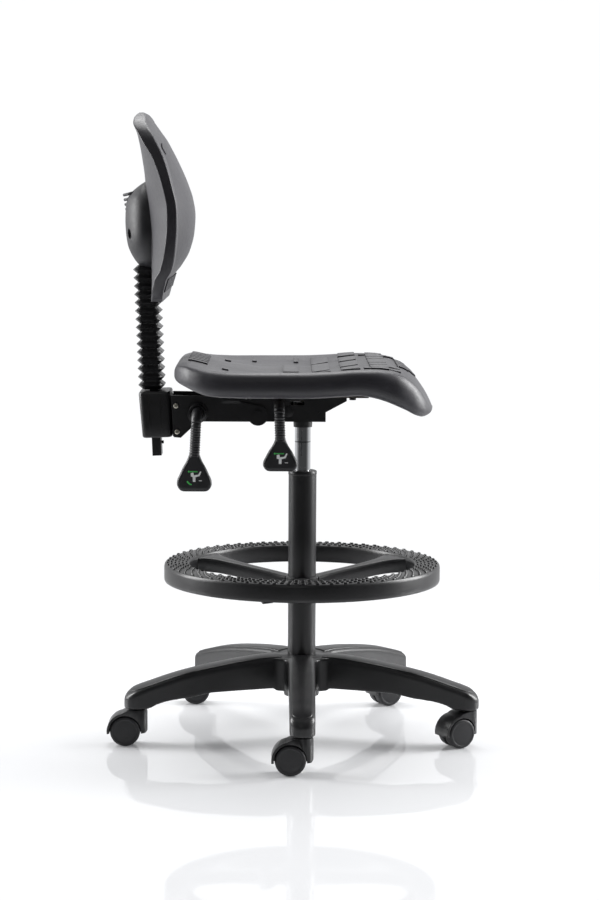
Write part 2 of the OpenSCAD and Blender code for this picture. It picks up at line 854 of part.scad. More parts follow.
module rear_bracket() color(black_steel) lean() {
    ow = bar_w + 2 * sleeve_t;
    ot = bar_t + 2 * sleeve_t;
    difference() {
        union() {
            translate([-ot / 2, -ow / 2, sleeve_bot])
                cube([ot, ow, sleeve_top - sleeve_bot]);
            translate([ot / 2 - 1, -ow / 2, sleeve_bot])
                cube([cover_front - ot / 2 + 3, ow, sleeve_top - sleeve_bot]);
            // ears bolted between the plates of the back arm
            translate([cover_front + 1, -arm_in, ear_bot])
                cube([ear_t, 2 * arm_in, ear_top - ear_bot]);
            for (s = [-1, 1])
                translate([cover_front + 1, s * (arm_in - ear_t / 2) - ear_t / 2, ear_bot])
                    cube([16, ear_t, ear_top - ear_bot]);
        }
        translate([-bar_t / 2 - bar_fit, -bar_w / 2 - bar_fit, sleeve_bot - eps])
            cube([bar_t + 2 * bar_fit, bar_w + 2 * bar_fit, sleeve_top - sleeve_bot + 2 * eps]);
        // window of the ratchet pawl
        translate([-ot / 2 - eps, -8, 56])
            cube([sleeve_t + 2 * eps, 16, 14]);
        for (w = ear_w)
            translate([ear_u, 0, w])
                rotate([90, 0, 0])
                    cylinder(r = ear_r, h = 3 * mech_w, center = true);
    }
}

module ratchet_pawl() color(zinc) lean() {
    face = -bar_t / 2 - bar_fit - 0.1;
    back = -bar_t / 2 - sleeve_t;
    translate([back - 1, -7.8, 56.2])
        cube([face - back + 1, 15.6, 13.6]);
    translate([back - 2, -12, 48])
        cube([2, 24, 30]);
}

module bracket_screws() color(zinc) lean()
    for (w = ear_w, s = [-1, 1])
        translate([ear_u, s * (arm_in - ear_t), w])
            rotate([-s * 90, 0, 0]) {
                cylinder(r = ear_r, h = ear_t + plate);
                translate([0, 0, ear_t + plate])
                    cylinder(r = 4.6, h = 3);
            }

module bracket_cover() color(nylon) lean() difference() {
    intersection() {
        side(cover_half)
            polygon([[-cover_rear + 4, 20.5], [cover_front, 20.5], [cover_front, 102.5],
                [-cover_rear, 99]]);
        translate([(cover_front - cover_rear) / 2, 0, 0])
            rbox(cover_front + cover_rear, 2 * cover_half, 110, 10);
    }
    translate([-cover_rear + 4 + cover_t, -cover_half + cover_t, 20.5 + cover_t])
        cube([cover_front + cover_rear, 2 * (cover_half - cover_t), 99 - 20.5 - 2 * cover_t]);
    translate([-bar_t / 2 - 1, -bar_w / 2 - 1, 0])
        cube([bar_t + 2, bar_w + 2, 120]);
}

// ================= bellows =================

module bel_slab(z0, z1, inset) {
    translate([lean_x((z0 + z1) / 2) - bel_back, 0, z0])
        rbox(2 * (bel_half_x - inset), 2 * (bel_half_y - inset), z1 - z0, 12 - inset);
}

module bellows() color(rubber) {
    pitch = (bel_z1 - bel_z0) / ridge_count;
    difference() {
        union() {
            for (i = [0:ridge_count - 1]) {
                bel_slab(bel_z0 + i * pitch, bel_z0 + (i + 1) * pitch + bel_lap, bel_deep);
                bel_slab(bel_z0 + (i + 0.15) * pitch, bel_z0 + (i + 0.85) * pitch, bel_deep / 2);
                bel_slab(bel_z0 + (i + 0.36) * pitch, bel_z0 + (i + 0.64) * pitch, 0);
            }
        }
        for (i = [0:ridge_count - 1])
            translate([0, 0, i == 0 ? -eps : 0])
                bel_slab(bel_z0 + i * pitch - 0.01, bel_z0 + (i + 1) * pitch + 1,
                    bel_deep + bel_skin);
    }
}

// ================= upright and back =================

module upright_bar() color(black_steel) lean() difference() {
    translate([-bar_t / 2, -bar_w / 2, bar_bot])
        cube([bar_t, bar_w, bar_top - bar_bot]);
    translate([-bar_t / 2 + bar_wall, -bar_w / 2 + bar_wall, bar_bot - eps])
        cube([bar_t - 2 * bar_wall, bar_w - 2 * bar_wall, bar_top - bar_bot + 2 * eps]);
    for (i = [0:notch_count - 1])
        translate([-bar_t / 2 - eps, -10, notch_w0 + i * notch_pitch])
            cube([bar_wall + 2 * eps, 20, 5]);
    translate([bar_t / 2, 0, 8])
        rotate([0, 90, 0])
            cylinder(r = 2, h = 3 * bar_wall, center = true);
}

module stop_screw() color(black_steel) lean()
    translate([bar_t / 2, 0, 8])
        rotate([0, 90, 0]) {
            translate([0, 0, -bar_wall])
                cylinder(r = 2, h = bar_wall);
            cylinder(r = 2.8, h = 4);
        }

module back_carrier() color(black_steel) lean() difference() {
    translate([bar_t / 2, -carrier_half, carrier_w0])
        cube([carrier_t, 2 * carrier_half, carrier_h]);
    for (w = back_screw_w, s = [-1, 1])
        translate([bar_t / 2, s * back_screw_y, w])
            rotate([0, 90, 0])
                cylinder(r = 3, h = 4 * carrier_t, center = true);
    for (s = [-1, 1])
        translate([bar_t / 2, s * dome_screw_y, dome_screw_z - bar_z0])
            rotate([0, 90, 0])
                cylinder(r = 2, h = 4 * carrier_t, center = true);
}

module back_insert() color(ply) lean() difference() {
    translate([bar_t / 2 + carrier_t, -insert_bh, insert_w0])
        cube([insert_b, 2 * insert_bh, insert_h]);
    for (w = back_screw_w, s = [-1, 1])
        translate([bar_t / 2 + carrier_t, s * back_screw_y, w])
            rotate([0, 90, 0])
                cylinder(r = 3, h = 3 * insert_b, center = true);
}

module back_screws() color(zinc) lean()
    for (w = back_screw_w, s = [-1, 1])
        translate([bar_t / 2, s * back_screw_y, w])
            rotate([0, 90, 0]) {
                cylinder(r = 3, h = carrier_t + insert_b);
                translate([0, 0, -3])
                    cylinder(r = 5.5, h = 3);
            }

module dome_shape(off) {
    fx = -dome_x;
    intersection() {
        side(100)
            polygon([[fx + 35, dome_zc + 80 - off], [fx + 26, dome_zc + 76 - off],
                [fx + 12 + off, dome_zc + 65 - off], [fx + 3 + off, dome_zc + 55 - off],
                [fx + off, dome_zc + 44], [fx + 1 + off, dome_zc + 5],
                [fx + 4 + off, dome_zc - 30], [fx + 9 + off, dome_zc - 46 + off],
                [fx + 17 + off, dome_zc - 58 + off], [fx + 48, dome_zc - 77 + off],
                [-200, dome_zc - 77 + off], [-200, dome_zc + 80 - off]]);
        translate([fx + dome_plan_r, 0, dome_zc - 100])
            cylinder(r = dome_plan_r - off, h = 200);
        translate([-200, 0, dome_zc])
            rotate([0, -90, 0])
                cylinder(r = dome_front_r - off, h = 200);
    }
}

// Flat face behind the backrest that the dome and the pad share.
module behind_pad(d) {
    side(120)
        polygon([[-bar_back - 4.6 - d, back_z0], [-bar_back - 21.2 - d, back_z0 + 230],
            [-bar_back - 260, back_z0 + 230], [-bar_back - 260, back_z0 - 60],
            [-bar_back - 0.6 - d, back_z0 - 60]]);
}

module dome_cover() color(nylon) {
    fx = -dome_x;
    difference() {
        union() {
            intersection() {
                dome_shape(0);
                behind_pad(0.5);
            }
            // three finger ribs across the top
            intersection() {
                for (i = [0:2])
                    translate([fx - 4 + 2 * i, -24 + 2 * i, dome_zc + 55 - 11 * i])
                        rotate([0, -16, 0])
                            cube([26, 48 - 4 * i, 4.5]);
                translate([fx + 46, 0, dome_zc])
                    cylinder(r = 51, h = 100);
            }
        }
        difference() {
            dome_shape(dome_wall);
            for (s = [-1, 1])
                translate([-200, s * dome_screw_y, dome_screw_z])
                    rotate([0, -90, 0])
                        cylinder(r = 12, h = 200);
        }
        for (s = [-1, 1]) {
            translate([fx + 22, s * dome_screw_y, dome_screw_z])
                rotate([0, -90, 0])
                    cylinder(r = 9, h = 60);
            translate([-200, s * dome_screw_y, dome_screw_z])
                rotate([0, -90, 0])
                    cylinder(r = 2.2, h = 120);
        }
        translate([-400, -bel_half_y - 4, dome_zc - 100])
            cube([400, 2 * bel_half_y + 8, 100 - 64]);
        lean()
            translate([-bar_t / 2 - 2, -carrier_half - 2, 200])
                cube([100, 2 * carrier_half + 4, carrier_w0 + carrier_h - 196]);
    }
}

module dome_screws() color(zinc)
    for (s = [-1, 1])
        translate([-dome_x + 22, s * dome_screw_y, dome_screw_z])
            rotate([0, 90, 0]) {
                translate([0, 0, -4])
                    cylinder(r = 4, h = 4);
                cylinder(r = 2, h = 20);
            }

// Backrest skin, distances forward of the bar line, heights above the bottom edge:
// rear at the middle, front at the middle, centre of the rim, share of half width.
back_rear = [[0, 6], [70, 5], [145, 3], [217, 0], [258, -4], [300, -8], [316, -6], [324, 0]];
back_front = [[0, 27], [20, 32], [36, 38], [58, 56], [84, 72], [118, 82], [150, 85], [176, 82],
    [199, 75.5], [217, 69], [242, 58.5], [258, 51], [280, 39.5], [291, 32], [309, 19.7], [318, 12],
    [324, 8]];
back_rim = [[0, 23.5], [15, 25], [30, 26], [38, 27.5], [46, 32], [52, 36.3], [64, 41], [78, 44.9],
    [107, 50], [129, 52.7], [159, 53.7], [199, 47.2], [243, 34.9], [280, 16.6], [309, 3.2],
    [324, 4]];
back_edge = [[0, 9.6], [34, 10], [64, 10.3], [78, 10], [129, 9.4], [159, 9.4], [199, 9.2],
    [243, 10.4], [280, 12.2], [300, 11.5], [309, 10.4], [324, 9]];
back_half = [[0, 0.6], [4, 0.68], [12, 0.76], [28, 0.84], [60, 0.92], [110, 0.98], [150, 1],
    [200, 0.99], [240, 0.96], [270, 0.91], [290, 0.85], [305, 0.76], [315, 0.65], [321, 0.53],
    [324, 0.42]];
back_z = concat([0, 3, 8, 14, 22], ends(32, 272, 20), [282, 291, 299, 306, 312, 317, 321, 324]);
back_pts = 16;

function back_ring(z) =
    let (w = lookup(z, back_half) * back_w / 2,
        b = lookup(z, back_rear),
        f = lookup(z, back_front),
        e = min(lookup(z, back_edge), (f - b) * 0.42),
        m = min(max(lookup(z, back_rim), b + e), f - e),
        c = w - e,
        zz = back_z0 + z * kb,
        x0 = lean_x(zz))
    concat(
        [for (i = [0:back_pts]) let (t = -1 + 2 * i / back_pts, k = 1 - t * t)
            [x0 + (m - e) + (b - m + e) * k, c * t, zz]],
        [for (i = [1:3]) let (a = -90 + 45 * i)
            [x0 + m + e * sin(a), c + e * cos(a), zz]],
        [for (i = [0:back_pts]) let (t = 1 - 2 * i / back_pts, k = 1 - t * t)
            [x0 + (m + e) + (f - m - e) * k, c * t, zz]],
        [for (i = [1:3]) let (a = 90 + 45 * i)
            [x0 + m + e * sin(a), -c + e * cos(a), zz]]);

module back_pad() color(pu) difference() {
    loft([for (z = back_z) [for (p = back_ring(z)) p]]);
    lean() {
        // channel for the bellows, then a shallower one for the bar and the carrier
        translate([-80, -carrier_half - 1, 200])
            cube([80 - bel_back + bel_half_x + 2, 2 * carrier_half + 2, insert_w0 - 200.5]);
        translate([-80, -carrier_half - 1, 200])
            cube([80 + bar_t / 2 + carrier_t, 2 * carrier_half + 2,
                carrier_w0 + carrier_h - 199]);
        // seat of the moulded-in insert
        translate([bar_t / 2 + carrier_t, -insert_bh, insert_w0])
            cube([insert_b, 2 * insert_bh, insert_h]);
    }
}

// ================= assembly =================

star_base();
gas_tube();
guide_bush();
thrust_bearing();
piston_rod();
retaining_clip();
gas_cylinder();
release_pin();
foot_ring();
ring_knob();
mechanism_housing();
rake_pivot();
seat_bolts();
seat_insert();
seat_pad();
gas_lever();
gas_grip();
back_arm();
lock_bolt();
lever_boot();
rake_lever();
rake_grip();
rear_bracket();
bracket_cover();
bracket_screws();
ratchet_pawl();
bellows();
upright_bar();
stop_screw();
back_carrier();
dome_cover();
dome_screws();
back_insert();
back_screws();
back_pad();
castor_stem(0);  // stem_1
castor_hood(0);  // castor_hood_1
castor_axle(0);  // axle_1
castor_wheel(0, 1);  // wheel_near_1
castor_wheel(0, -1);  // wheel_far_1
castor_stem(1);  // stem_2
castor_hood(1);  // castor_hood_2
castor_axle(1);  // axle_2
castor_wheel(1, 1);  // wheel_near_2
castor_wheel(1, -1);  // wheel_far_2
castor_stem(2);  // stem_3
castor_hood(2);  // castor_hood_3
castor_axle(2);  // axle_3
castor_wheel(2, 1);  // wheel_near_3
castor_wheel(2, -1);  // wheel_far_3
castor_stem(3);  // stem_4
castor_hood(3);  // castor_hood_4
castor_axle(3);  // axle_4
castor_wheel(3, 1);  // wheel_near_4
castor_wheel(3, -1);  // wheel_far_4
castor_stem(4);  // stem_5
castor_hood(4);  // castor_hood_5
castor_axle(4);  // axle_5
castor_wheel(4, 1);  // wheel_near_5
castor_wheel(4, -1);  // wheel_far_5
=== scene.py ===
import bisect
import json
import math

import bmesh
import bpy
from mathutils import Matrix, Vector


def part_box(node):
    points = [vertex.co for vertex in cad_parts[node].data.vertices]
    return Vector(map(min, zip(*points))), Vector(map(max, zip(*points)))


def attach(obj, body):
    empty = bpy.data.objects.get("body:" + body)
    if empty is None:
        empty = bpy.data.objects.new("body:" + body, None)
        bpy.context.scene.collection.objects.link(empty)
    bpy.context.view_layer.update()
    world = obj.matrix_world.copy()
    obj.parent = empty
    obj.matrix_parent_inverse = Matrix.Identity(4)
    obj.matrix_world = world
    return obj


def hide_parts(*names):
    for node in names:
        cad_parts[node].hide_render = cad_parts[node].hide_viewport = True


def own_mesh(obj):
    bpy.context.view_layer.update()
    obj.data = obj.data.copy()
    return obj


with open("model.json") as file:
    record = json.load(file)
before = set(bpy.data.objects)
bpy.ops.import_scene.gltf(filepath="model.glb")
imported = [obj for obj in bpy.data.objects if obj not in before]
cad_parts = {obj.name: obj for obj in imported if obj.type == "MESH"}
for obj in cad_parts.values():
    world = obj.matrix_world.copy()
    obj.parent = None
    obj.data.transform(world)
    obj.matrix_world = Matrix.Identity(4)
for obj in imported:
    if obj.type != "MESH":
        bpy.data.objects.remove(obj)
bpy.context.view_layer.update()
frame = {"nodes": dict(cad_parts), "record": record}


MM = 0.001
PI = math.pi
BODY_OF = {n: b for b, ns in frame["record"]["behaviour"]["bodies"].items() for n in ns}


# ---------------------------------------------------------------- measuring

def low(node):
    """Lower corner of a CAD node, in millimetres."""
    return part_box(node)[0] / MM


def high(node):
    """Upper corner of a CAD node, in millimetres."""
    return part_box(node)[1] / MM


def middle(node):
    return (low(node) + high(node)) / 2


def spline(table):
    """Smooth curve through the points of a table, without overshoot."""
    xs = [p[0] for p in table]
    ys = [p[1] for p in table]
    n = len(xs)
    d = [(ys[i + 1] - ys[i]) / (xs[i + 1] - xs[i]) for i in range(n - 1)]
    m = [d[0]]
    for i in range(1, n - 1):
        m.append(0 if d[i - 1] * d[i] <= 0 else 2 * d[i - 1] * d[i] / (d[i - 1] + d[i]))
    m.append(d[-1])

    def value(x):
        x = min(max(x, xs[0]), xs[-1])
        i = min(max(bisect.bisect_right(xs, x) - 1, 0), n - 2)
        h = xs[i + 1] - xs[i]
        t = (x - xs[i]) / h
        return (ys[i] * (1 + 2 * t) * (1 - t) ** 2 + ys[i + 1] * t * t * (3 - 2 * t)
                + h * m[i] * t * (1 - t) ** 2 - h * m[i + 1] * t * t * (1 - t))
    return value


def cosd(angle):
    return math.cos(math.radians(angle))


def sind(angle):
    return math.sin(math.radians(angle))


def step(a, b, x):
    """Smooth step from 0 at a to 1 at b."""
    t = min(max((x - a) / (b - a), 0), 1)
    return t * t * (3 - 2 * t)


def spread(a, b, n):
    return [a + (b - a) * i / n for i in range(n + 1)]


# ---------------------------------------------------------------- mesh code

def shade(mesh, angle):
    mesh.polygons.foreach_set("use_smooth", [True] * len(mesh.polygons))
    mesh.set_sharp_from_angle(angle=math.radians(angle))
    mesh.update()


def solid(name, parts, mat, at=None, angle=35):
    """Object from (vertices, faces) parts in millimetres, placed by the matrix at."""
    verts, faces = [], []
    for vs, fs in parts:
        base = len(verts)
        verts += [Vector(v) if at is None else at @ Vector(v) for v in vs]
        faces += [tuple(i + base for i in f) for f in fs]
    mesh = bpy.data.meshes.new(name)
    mesh.from_pydata([v * MM for v in verts], [], faces)
    bm = bmesh.new()
    bm.from_mesh(mesh)
    bmesh.ops.remove_doubles(bm, verts=bm.verts, dist=2e-6)
    bmesh.ops.dissolve_degenerate(bm, edges=bm.edges, dist=1e-7)
    bmesh.ops.recalc_face_normals(bm, faces=bm.faces)
    bm.to_mesh(mesh)
    bm.free()
    shade(mesh, angle)
    mesh.materials.append(mat)
    ob = bpy.data.objects.new(name, mesh)
    bpy.context.scene.collection.objects.link(ob)
    return ob


def skin(rings, closed=True, caps=True):
    """Surface through rings that have the same number of points."""
    n = len(rings[0])
    verts = [p for r in rings for p in r]
    faces = []
    for i in range(len(rings) - 1):
        for j in range(n if closed else n - 1):
            k = (j + 1) % n
            faces.append((i * n + j, i * n + k, (i + 1) * n + k, (i + 1) * n + j))
    if caps:
        for first in (0, (len(rings) - 1) * n):
            ring = rings[first // n]
            verts.append(sum((Vector(p) for p in ring), Vector()) / n)
            c = len(verts) - 1
            faces += [(first + j, first + (j + 1) % n, c) for j in range(n)]
    return verts, faces


def turned(profile, n=72, lobes=None):
    """Profile of (radius, height) points turned about Z."""
    rings = []
    for r, z in profile:
        ring = []
        for i in range(n):
            a = 2 * PI * i / n
            k = r if lobes is None else r * lobes(a)
            ring.append((k * math.cos(a), k * math.sin(a), z))
        rings.append(ring)
    return skin(rings, caps=profile[0][0] > 0.01)


def prism(outline, z0, z1):
    n = len(outline)
    verts = [(x, y, z0) for x, y in outline] + [(x, y, z1) for x, y in outline]
    faces = [tuple(range(n - 1, -1, -1)), tuple(range(n, 2 * n))]
    faces += [(i, (i + 1) % n, n + (i + 1) % n, n + i) for i in range(n)]
    return verts, faces


def rounded(w, h, r, n=6, centre=(0, 0)):
    """Outline of a rounded rectangle."""
    out = []
    for cx, cy, a0 in ((w / 2 - r, h / 2 - r, 0), (r - w / 2, h / 2 - r, 90),
                       (r - w / 2, r - h / 2, 180), (w / 2 - r, r - h / 2, 270)):
        for i in range(n + 1):
            a = math.radians(a0 + 90 * i / n)
            out.append((centre[0] + cx + r * math.cos(a), centre[1] + cy + r * math.sin(a)))
    return out


def arc(cx, cy, r, a0, a1, n):
    return [(cx + r * cosd(a), cy + r * sind(a))
            for a in spread(a0, a1, n)]


def settle(ob):
    """Modifiers become the mesh itself."""
    mesh = bpy.data.meshes.new_from_object(
        ob.evaluated_get(bpy.context.evaluated_depsgraph_get()))
    ob.modifiers.clear()
    ob.data = mesh
    return ob


def bevel(ob, width, segments=3, angle=35):
    m = ob.modifiers.new("edges", "BEVEL")
    m.width = width * MM
    m.segments = segments
    m.limit_method = "ANGLE"
    m.angle_limit = math.radians(angle)
    m.use_clamp_overlap = True
    settle(ob)
    shade(ob.data, 40)
    return ob


def joined(ob, tool, operation="DIFFERENCE", solver="EXACT", angle=35):
    m = ob.modifiers.new("cut", "BOOLEAN")
    m.operation = operation
    m.solver = solver
    m.object = tool
    settle(ob)
    bpy.data.objects.remove(tool)
    shade(ob.data, angle)
    return ob


def piece(ob, body, slot, *nodes):
    """Hands a finished piece to its body; it stands for the CAD nodes named."""
    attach(ob, body)
    if nodes:
        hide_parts(*nodes)
    return ob


def move(x=0, y=0, z=0):
    return Matrix.Translation((x, y, z))


def turn(angle, axis):
    return Matrix.Rotation(math.radians(angle), 4, axis)


# ---------------------------------------------------------------- finishes

def finish_of(name, colour, rough, metallic=0.0, specular=0.5, grain=900, depth=0.05,
              cells=0.0, mottle=0.12, sheen=0.0, coat=0.0, patches=25, scuffs=0.25):
    """Surface whose colour, gloss and relief vary: fine grain, broad mottling and light wear."""
    mat = bpy.data.materials.new(name)
    mat.use_nodes = True
    nodes, links = mat.node_tree.nodes, mat.node_tree.links
    shader = nodes["Principled BSDF"]
    shader.inputs["Metallic"].default_value = metallic
    shader.inputs["Specular IOR Level"].default_value = specular
    shader.inputs["Sheen Weight"].default_value = sheen
    shader.inputs["Sheen Roughness"].default_value = 0.4
    shader.inputs["Coat Weight"].default_value = coat
    shader.inputs["Coat Roughness"].default_value = 0.25
    where = nodes.new("ShaderNodeTexCoord").outputs["Object"]

    def noise(scale, detail, rough_=0.55):
        n = nodes.new("ShaderNodeTexNoise")
        n.inputs["Scale"].default_value = scale
        n.inputs["Detail"].default_value = detail
        n.inputs["Roughness"].default_value = rough_
        links.new(where, n.inputs["Vector"])
        return n.outputs["Fac"]

    def ranged(source, a, b, lo=0.3, hi=0.7):
        n = nodes.new("ShaderNodeMapRange")
        n.inputs["From Min"].default_value = lo
        n.inputs["From Max"].default_value = hi
        n.inputs["To Min"].default_value = a
        n.inputs["To Max"].default_value = b
        links.new(source, n.inputs["Value"])
        return n.outputs["Result"]

    broad = noise(patches, 5)
    fine = noise(grain, 2)
    marks = noise(patches * 9, 6, 0.7)

    dark = [c * (1 - mottle) for c in colour]
    light = [c * (1 + mottle) for c in colour]
    mix = nodes.new("ShaderNodeMix")
    mix.data_type = "RGBA"
    mix.inputs[6].default_value = (*dark, 1)
    mix.inputs[7].default_value = (*light, 1)
    links.new(ranged(broad, 0, 1), mix.inputs[0])
    worn = nodes.new("ShaderNodeMix")
    worn.data_type = "RGBA"
    worn.inputs[7].default_value = (*[min(1, c * 1.35 + 0.003) for c in colour], 1)
    links.new(mix.outputs[2], worn.inputs[6])
    links.new(ranged(marks, 0, 0.35, 0.6, 0.85), worn.inputs[0])
    links.new(worn.outputs[2], shader.inputs["Base Color"])

    blur = nodes.new("ShaderNodeMath")
    blur.operation = "ADD"
    links.new(ranged(broad, rough * 0.88, rough * 1.06), blur.inputs[0])
    links.new(ranged(marks, 0, rough * scuffs, 0.45, 0.8), blur.inputs[1])
    links.new(blur.outputs[0], shader.inputs["Roughness"])

    relief = nodes.new("ShaderNodeBump")
    relief.inputs["Strength"].default_value = 0.5
    relief.inputs["Distance"].default_value = depth * MM
    height = fine
    if cells:
        pebble = nodes.new("ShaderNodeTexVoronoi")
        pebble.feature = "SMOOTH_F1"
        pebble.inputs["Scale"].default_value = cells
        links.new(where, pebble.inputs["Vector"])
        both = nodes.new("ShaderNodeMath")
        both.operation = "ADD"
        links.new(pebble.outputs["Distance"], both.inputs[0])
        links.new(ranged(fine, 0, 0.5), both.inputs[1])
        height = both.outputs[0]
    links.new(height, relief.inputs["Height"])
    links.new(relief.outputs["Normal"], shader.inputs["Normal"])
    return mat


FINISH = {
    "nylon": finish_of("nylon", (0.011, 0.011, 0.012), 0.33, grain=1100, depth=0.05, cells=700),
    "wheel_nylon": finish_of("wheel_nylon", (0.018, 0.018, 0.02), 0.46, grain=900, depth=0.05,
                             mottle=0.2, scuffs=0.5),
    "bush_plastic": finish_of("bush_plastic", (0.05, 0.05, 0.05), 0.45, depth=0.03),
    "painted_steel": finish_of("painted_steel", (0.013, 0.013, 0.014), 0.34, grain=500,
                               depth=0.03, cells=420, mottle=0.06, patches=18, scuffs=0.08),
    "chrome": finish_of("chrome", (0.72, 0.73, 0.75), 0.07, metallic=1, grain=60, depth=0.01,
                        mottle=0.03, patches=12, scuffs=0.6),
    "zinc_steel": finish_of("zinc_steel", (0.68, 0.65, 0.56), 0.28, metallic=1, grain=700,
                            depth=0.03, mottle=0.15, patches=90, scuffs=0.5),
    "polyurethane": finish_of("polyurethane", (0.020, 0.019, 0.025), 0.45, specular=0.6, grain=800,
                              depth=0.10, cells=520, mottle=0.1, sheen=0.05, patches=14),
    "plywood": finish_of("plywood", (0.05, 0.042, 0.036), 0.6, grain=300, depth=0.1, mottle=0.25,
                         patches=60),
    "soft_rubber": finish_of("soft_rubber", (0.010, 0.010, 0.011), 0.3, grain=800, depth=0.05,
                             mottle=0.2, scuffs=0.4),
    "grip_plastic": finish_of("grip_plastic", (0.016, 0.016, 0.018), 0.4, grain=1000, depth=0.05,
                              cells=800),
}
MATT = finish_of("matt_nylon", (0.018, 0.018, 0.021), 0.5, grain=1100, depth=0.05, cells=700)
WHITE = finish_of("print_white", (0.93, 0.94, 0.93), 0.5, grain=900, depth=0.02, mottle=0.06)
GREEN = finish_of("print_green", (0.08, 0.6, 0.12), 0.5, grain=900, depth=0.02, mottle=0.08)
SLOT_OF = {s["node"]: s["material_slot"] for s in frame["record"]["subparts"]}

for node_name, node_object in frame["nodes"].items():
    node_object.data.materials.clear()
    node_object.data.materials.append(FINISH[SLOT_OF[node_name]])


# ---------------------------------------------------------------- seat pad

SEAT_MID = spline([[-231, 36], [-227, 49], [-218, 57], [-205, 60], [-185, 56.5], [-160, 50],
                   [-120, 43], [-60, 37], [0, 37], [50, 41], [90, 47], [122, 51], [150, 51],
                   [176, 46], [197, 32], [215, 11], [226, -8], [230, -18]])
SEAT_RIM = spline([[-231, 36], [-227, 48], [-218, 54], [-205, 55], [-185, 52], [-160, 49],
                   [-120, 47.5], [0, 48], [50, 50], [96, 53], [122, 53], [150, 50], [173, 42],
                   [195, 26], [209, 9], [221, -10], [230, -18]])
SEAT_UNDER = spline([[-231, 31], [-222, 25], [-209, 20], [-189, 12], [-167, 6], [-140, 4],
                     [-108, 3.5], [0, 3.5], [70, 7], [95, 8.5], [115, 6], [135, 1], [176, -16],
                     [197, -27], [208, -30], [222, -26], [230, -20]])
SEAT_HALF = spline([[-231, 0.3], [-229, 0.46], [-224, 0.62], [-215, 0.74], [-200, 0.84],
                    [-175, 0.92], [-140, 0.97], [-80, 1], [60, 1], [120, 0.985], [160, 0.95],
                    [190, 0.88], [208, 0.8], [220, 0.69], [227, 0.56], [230, 0.42]])
seat_z = low("seat_insert").z
seat_half_w = high("seat_pad").y
seat_k = (high("seat_pad").x - low("seat_pad").x) / 461


def seat_edge(x):
    w = SEAT_HALF(x) * seat_half_w
    e = min(20, (SEAT_RIM(x) - SEAT_UNDER(x)) * 0.5, w * 0.5)
    return w - e, e


def seat_top(x, y):
    """Height of the dished seat surface."""
    c = seat_edge(x)[0]
    k = min(abs(y) / c, 1) ** 3.4
    across = step(0.2, 0.55, abs(y) / c) * step(1, 0.8, abs(y) / c)
    dish = 3.5 * across * step(-185, -120, x) * step(60, 0, x)
    return seat_z + SEAT_MID(x) + (SEAT_RIM(x) - SEAT_MID(x)) * k - dish


def seat_ring(x):
    """Section of the seat pad at one station along its length."""
    c, e = seat_edge(x)
    zr, zu = SEAT_RIM(x), SEAT_UNDER(x)
    ring = []
    for y in spread(-c, c, 96):
        ring.append((x * seat_k, y, seat_top(x, y)))
    for sign in (1, -1):
        for i in range(1, 16):
            a = math.radians(90 - 180 * i / 16)
            p, q = abs(math.cos(a)) ** 0.82, abs(math.sin(a)) ** 0.82
            side = (x * seat_k, sign * (c + e * p),
                    seat_z + (zr + zu) / 2 + (zr - zu) / 2 * math.copysign(q, math.sin(a) * sign))
            ring.append(side)
        if sign == 1:
            for y in spread(c, -c, 48):
                ring.append((x * seat_k, y, seat_z + zu))
    return ring


def raised(x0, x1, y0, y1, height, surface, cell=5.0, foot=1.2):
    """Low block with rounded edges that follows a surface given as surface(u, v, lift)."""
    def marks(a, b):
        n = max(2, int((b - a - 2.8) / cell))
        return [a, a + 0.3, a + 1] + spread(a + 1, b - 1, n)[1:-1] + [b - 1, b - 0.3, b]
    us, vs = marks(x0, x1), marks(y0, y1)
    lifts = {0: -foot, 1: height * 0.86}
    rings = []
    for i, u in enumerate(us):
        ring = []
        for j, v in enumerate(vs):
            k = min(i, len(us) - 1 - i, j, len(vs) - 1 - j)
            ring.append(surface(u, v, lifts.get(k, height)))
        rings.append(ring)
    return skin(rings, closed=False, caps=False)


def on_seat(u, v, lift):
    return (u * seat_k, v, seat_top(u, v) + lift)


def make_seat():
    xs = [-231, -230.4, -229.4, -228.2, -226.8, -225.2, -223.4] + spread(-221.5, 221.5, 210)
    xs += [223, 224.5, 226, 227.4, 228.6, 229.5, 230]
    pad = solid("seat_skin", [skin([seat_ring(x) for x in xs])], FINISH["polyurethane"], angle=60)
    piece(pad, BODY_OF["seat_pad"], "polyurethane", "seat_pad")
    rows = [(-37, -8, [(-70, 70)]), (-17, -8, [(150, 184)]), (15, 47, [(-77, 77), (98, 184)]),
            (66, 98, [(-50, 50), (75, 140), (162, 196)]),
            (117, 149, [(0, 38), (50, 94), (106, 146), (158, 184)]),
            (-95, -86, [(152, 162)]), (-145, -133, [(96, 108)])]
    parts = []
    for x0, x1, spans in rows:
        for y0, y1 in spans:
            parts.append(raised(x0, x1, y0, y1, 3.2, on_seat))
            if abs(y0 + y1) > 1:
                parts.append(raised(x0, x1, -y1, -y0, 3.2, on_seat))
    pitch = 33
    for i in range(-5, 6):
        reach = 204 - 0.018 * (i * pitch) ** 2 / 5
        parts.append(raised(168, reach, i * pitch - 11, i * pitch + 11, 3.2, on_seat, 3.5))
    for i in (-3, -2, -1, 0, 1, 2, 3):
        parts.append(raised(-205, -170, i * 30 - 8, i * 30 + 8, 3, on_seat, 3))
    ribs = solid("seat_grip_blocks", parts, FINISH["polyurethane"], angle=50)
    piece(ribs, BODY_OF["seat_pad"], "polyurethane")


# ---------------------------------------------------------------- backrest

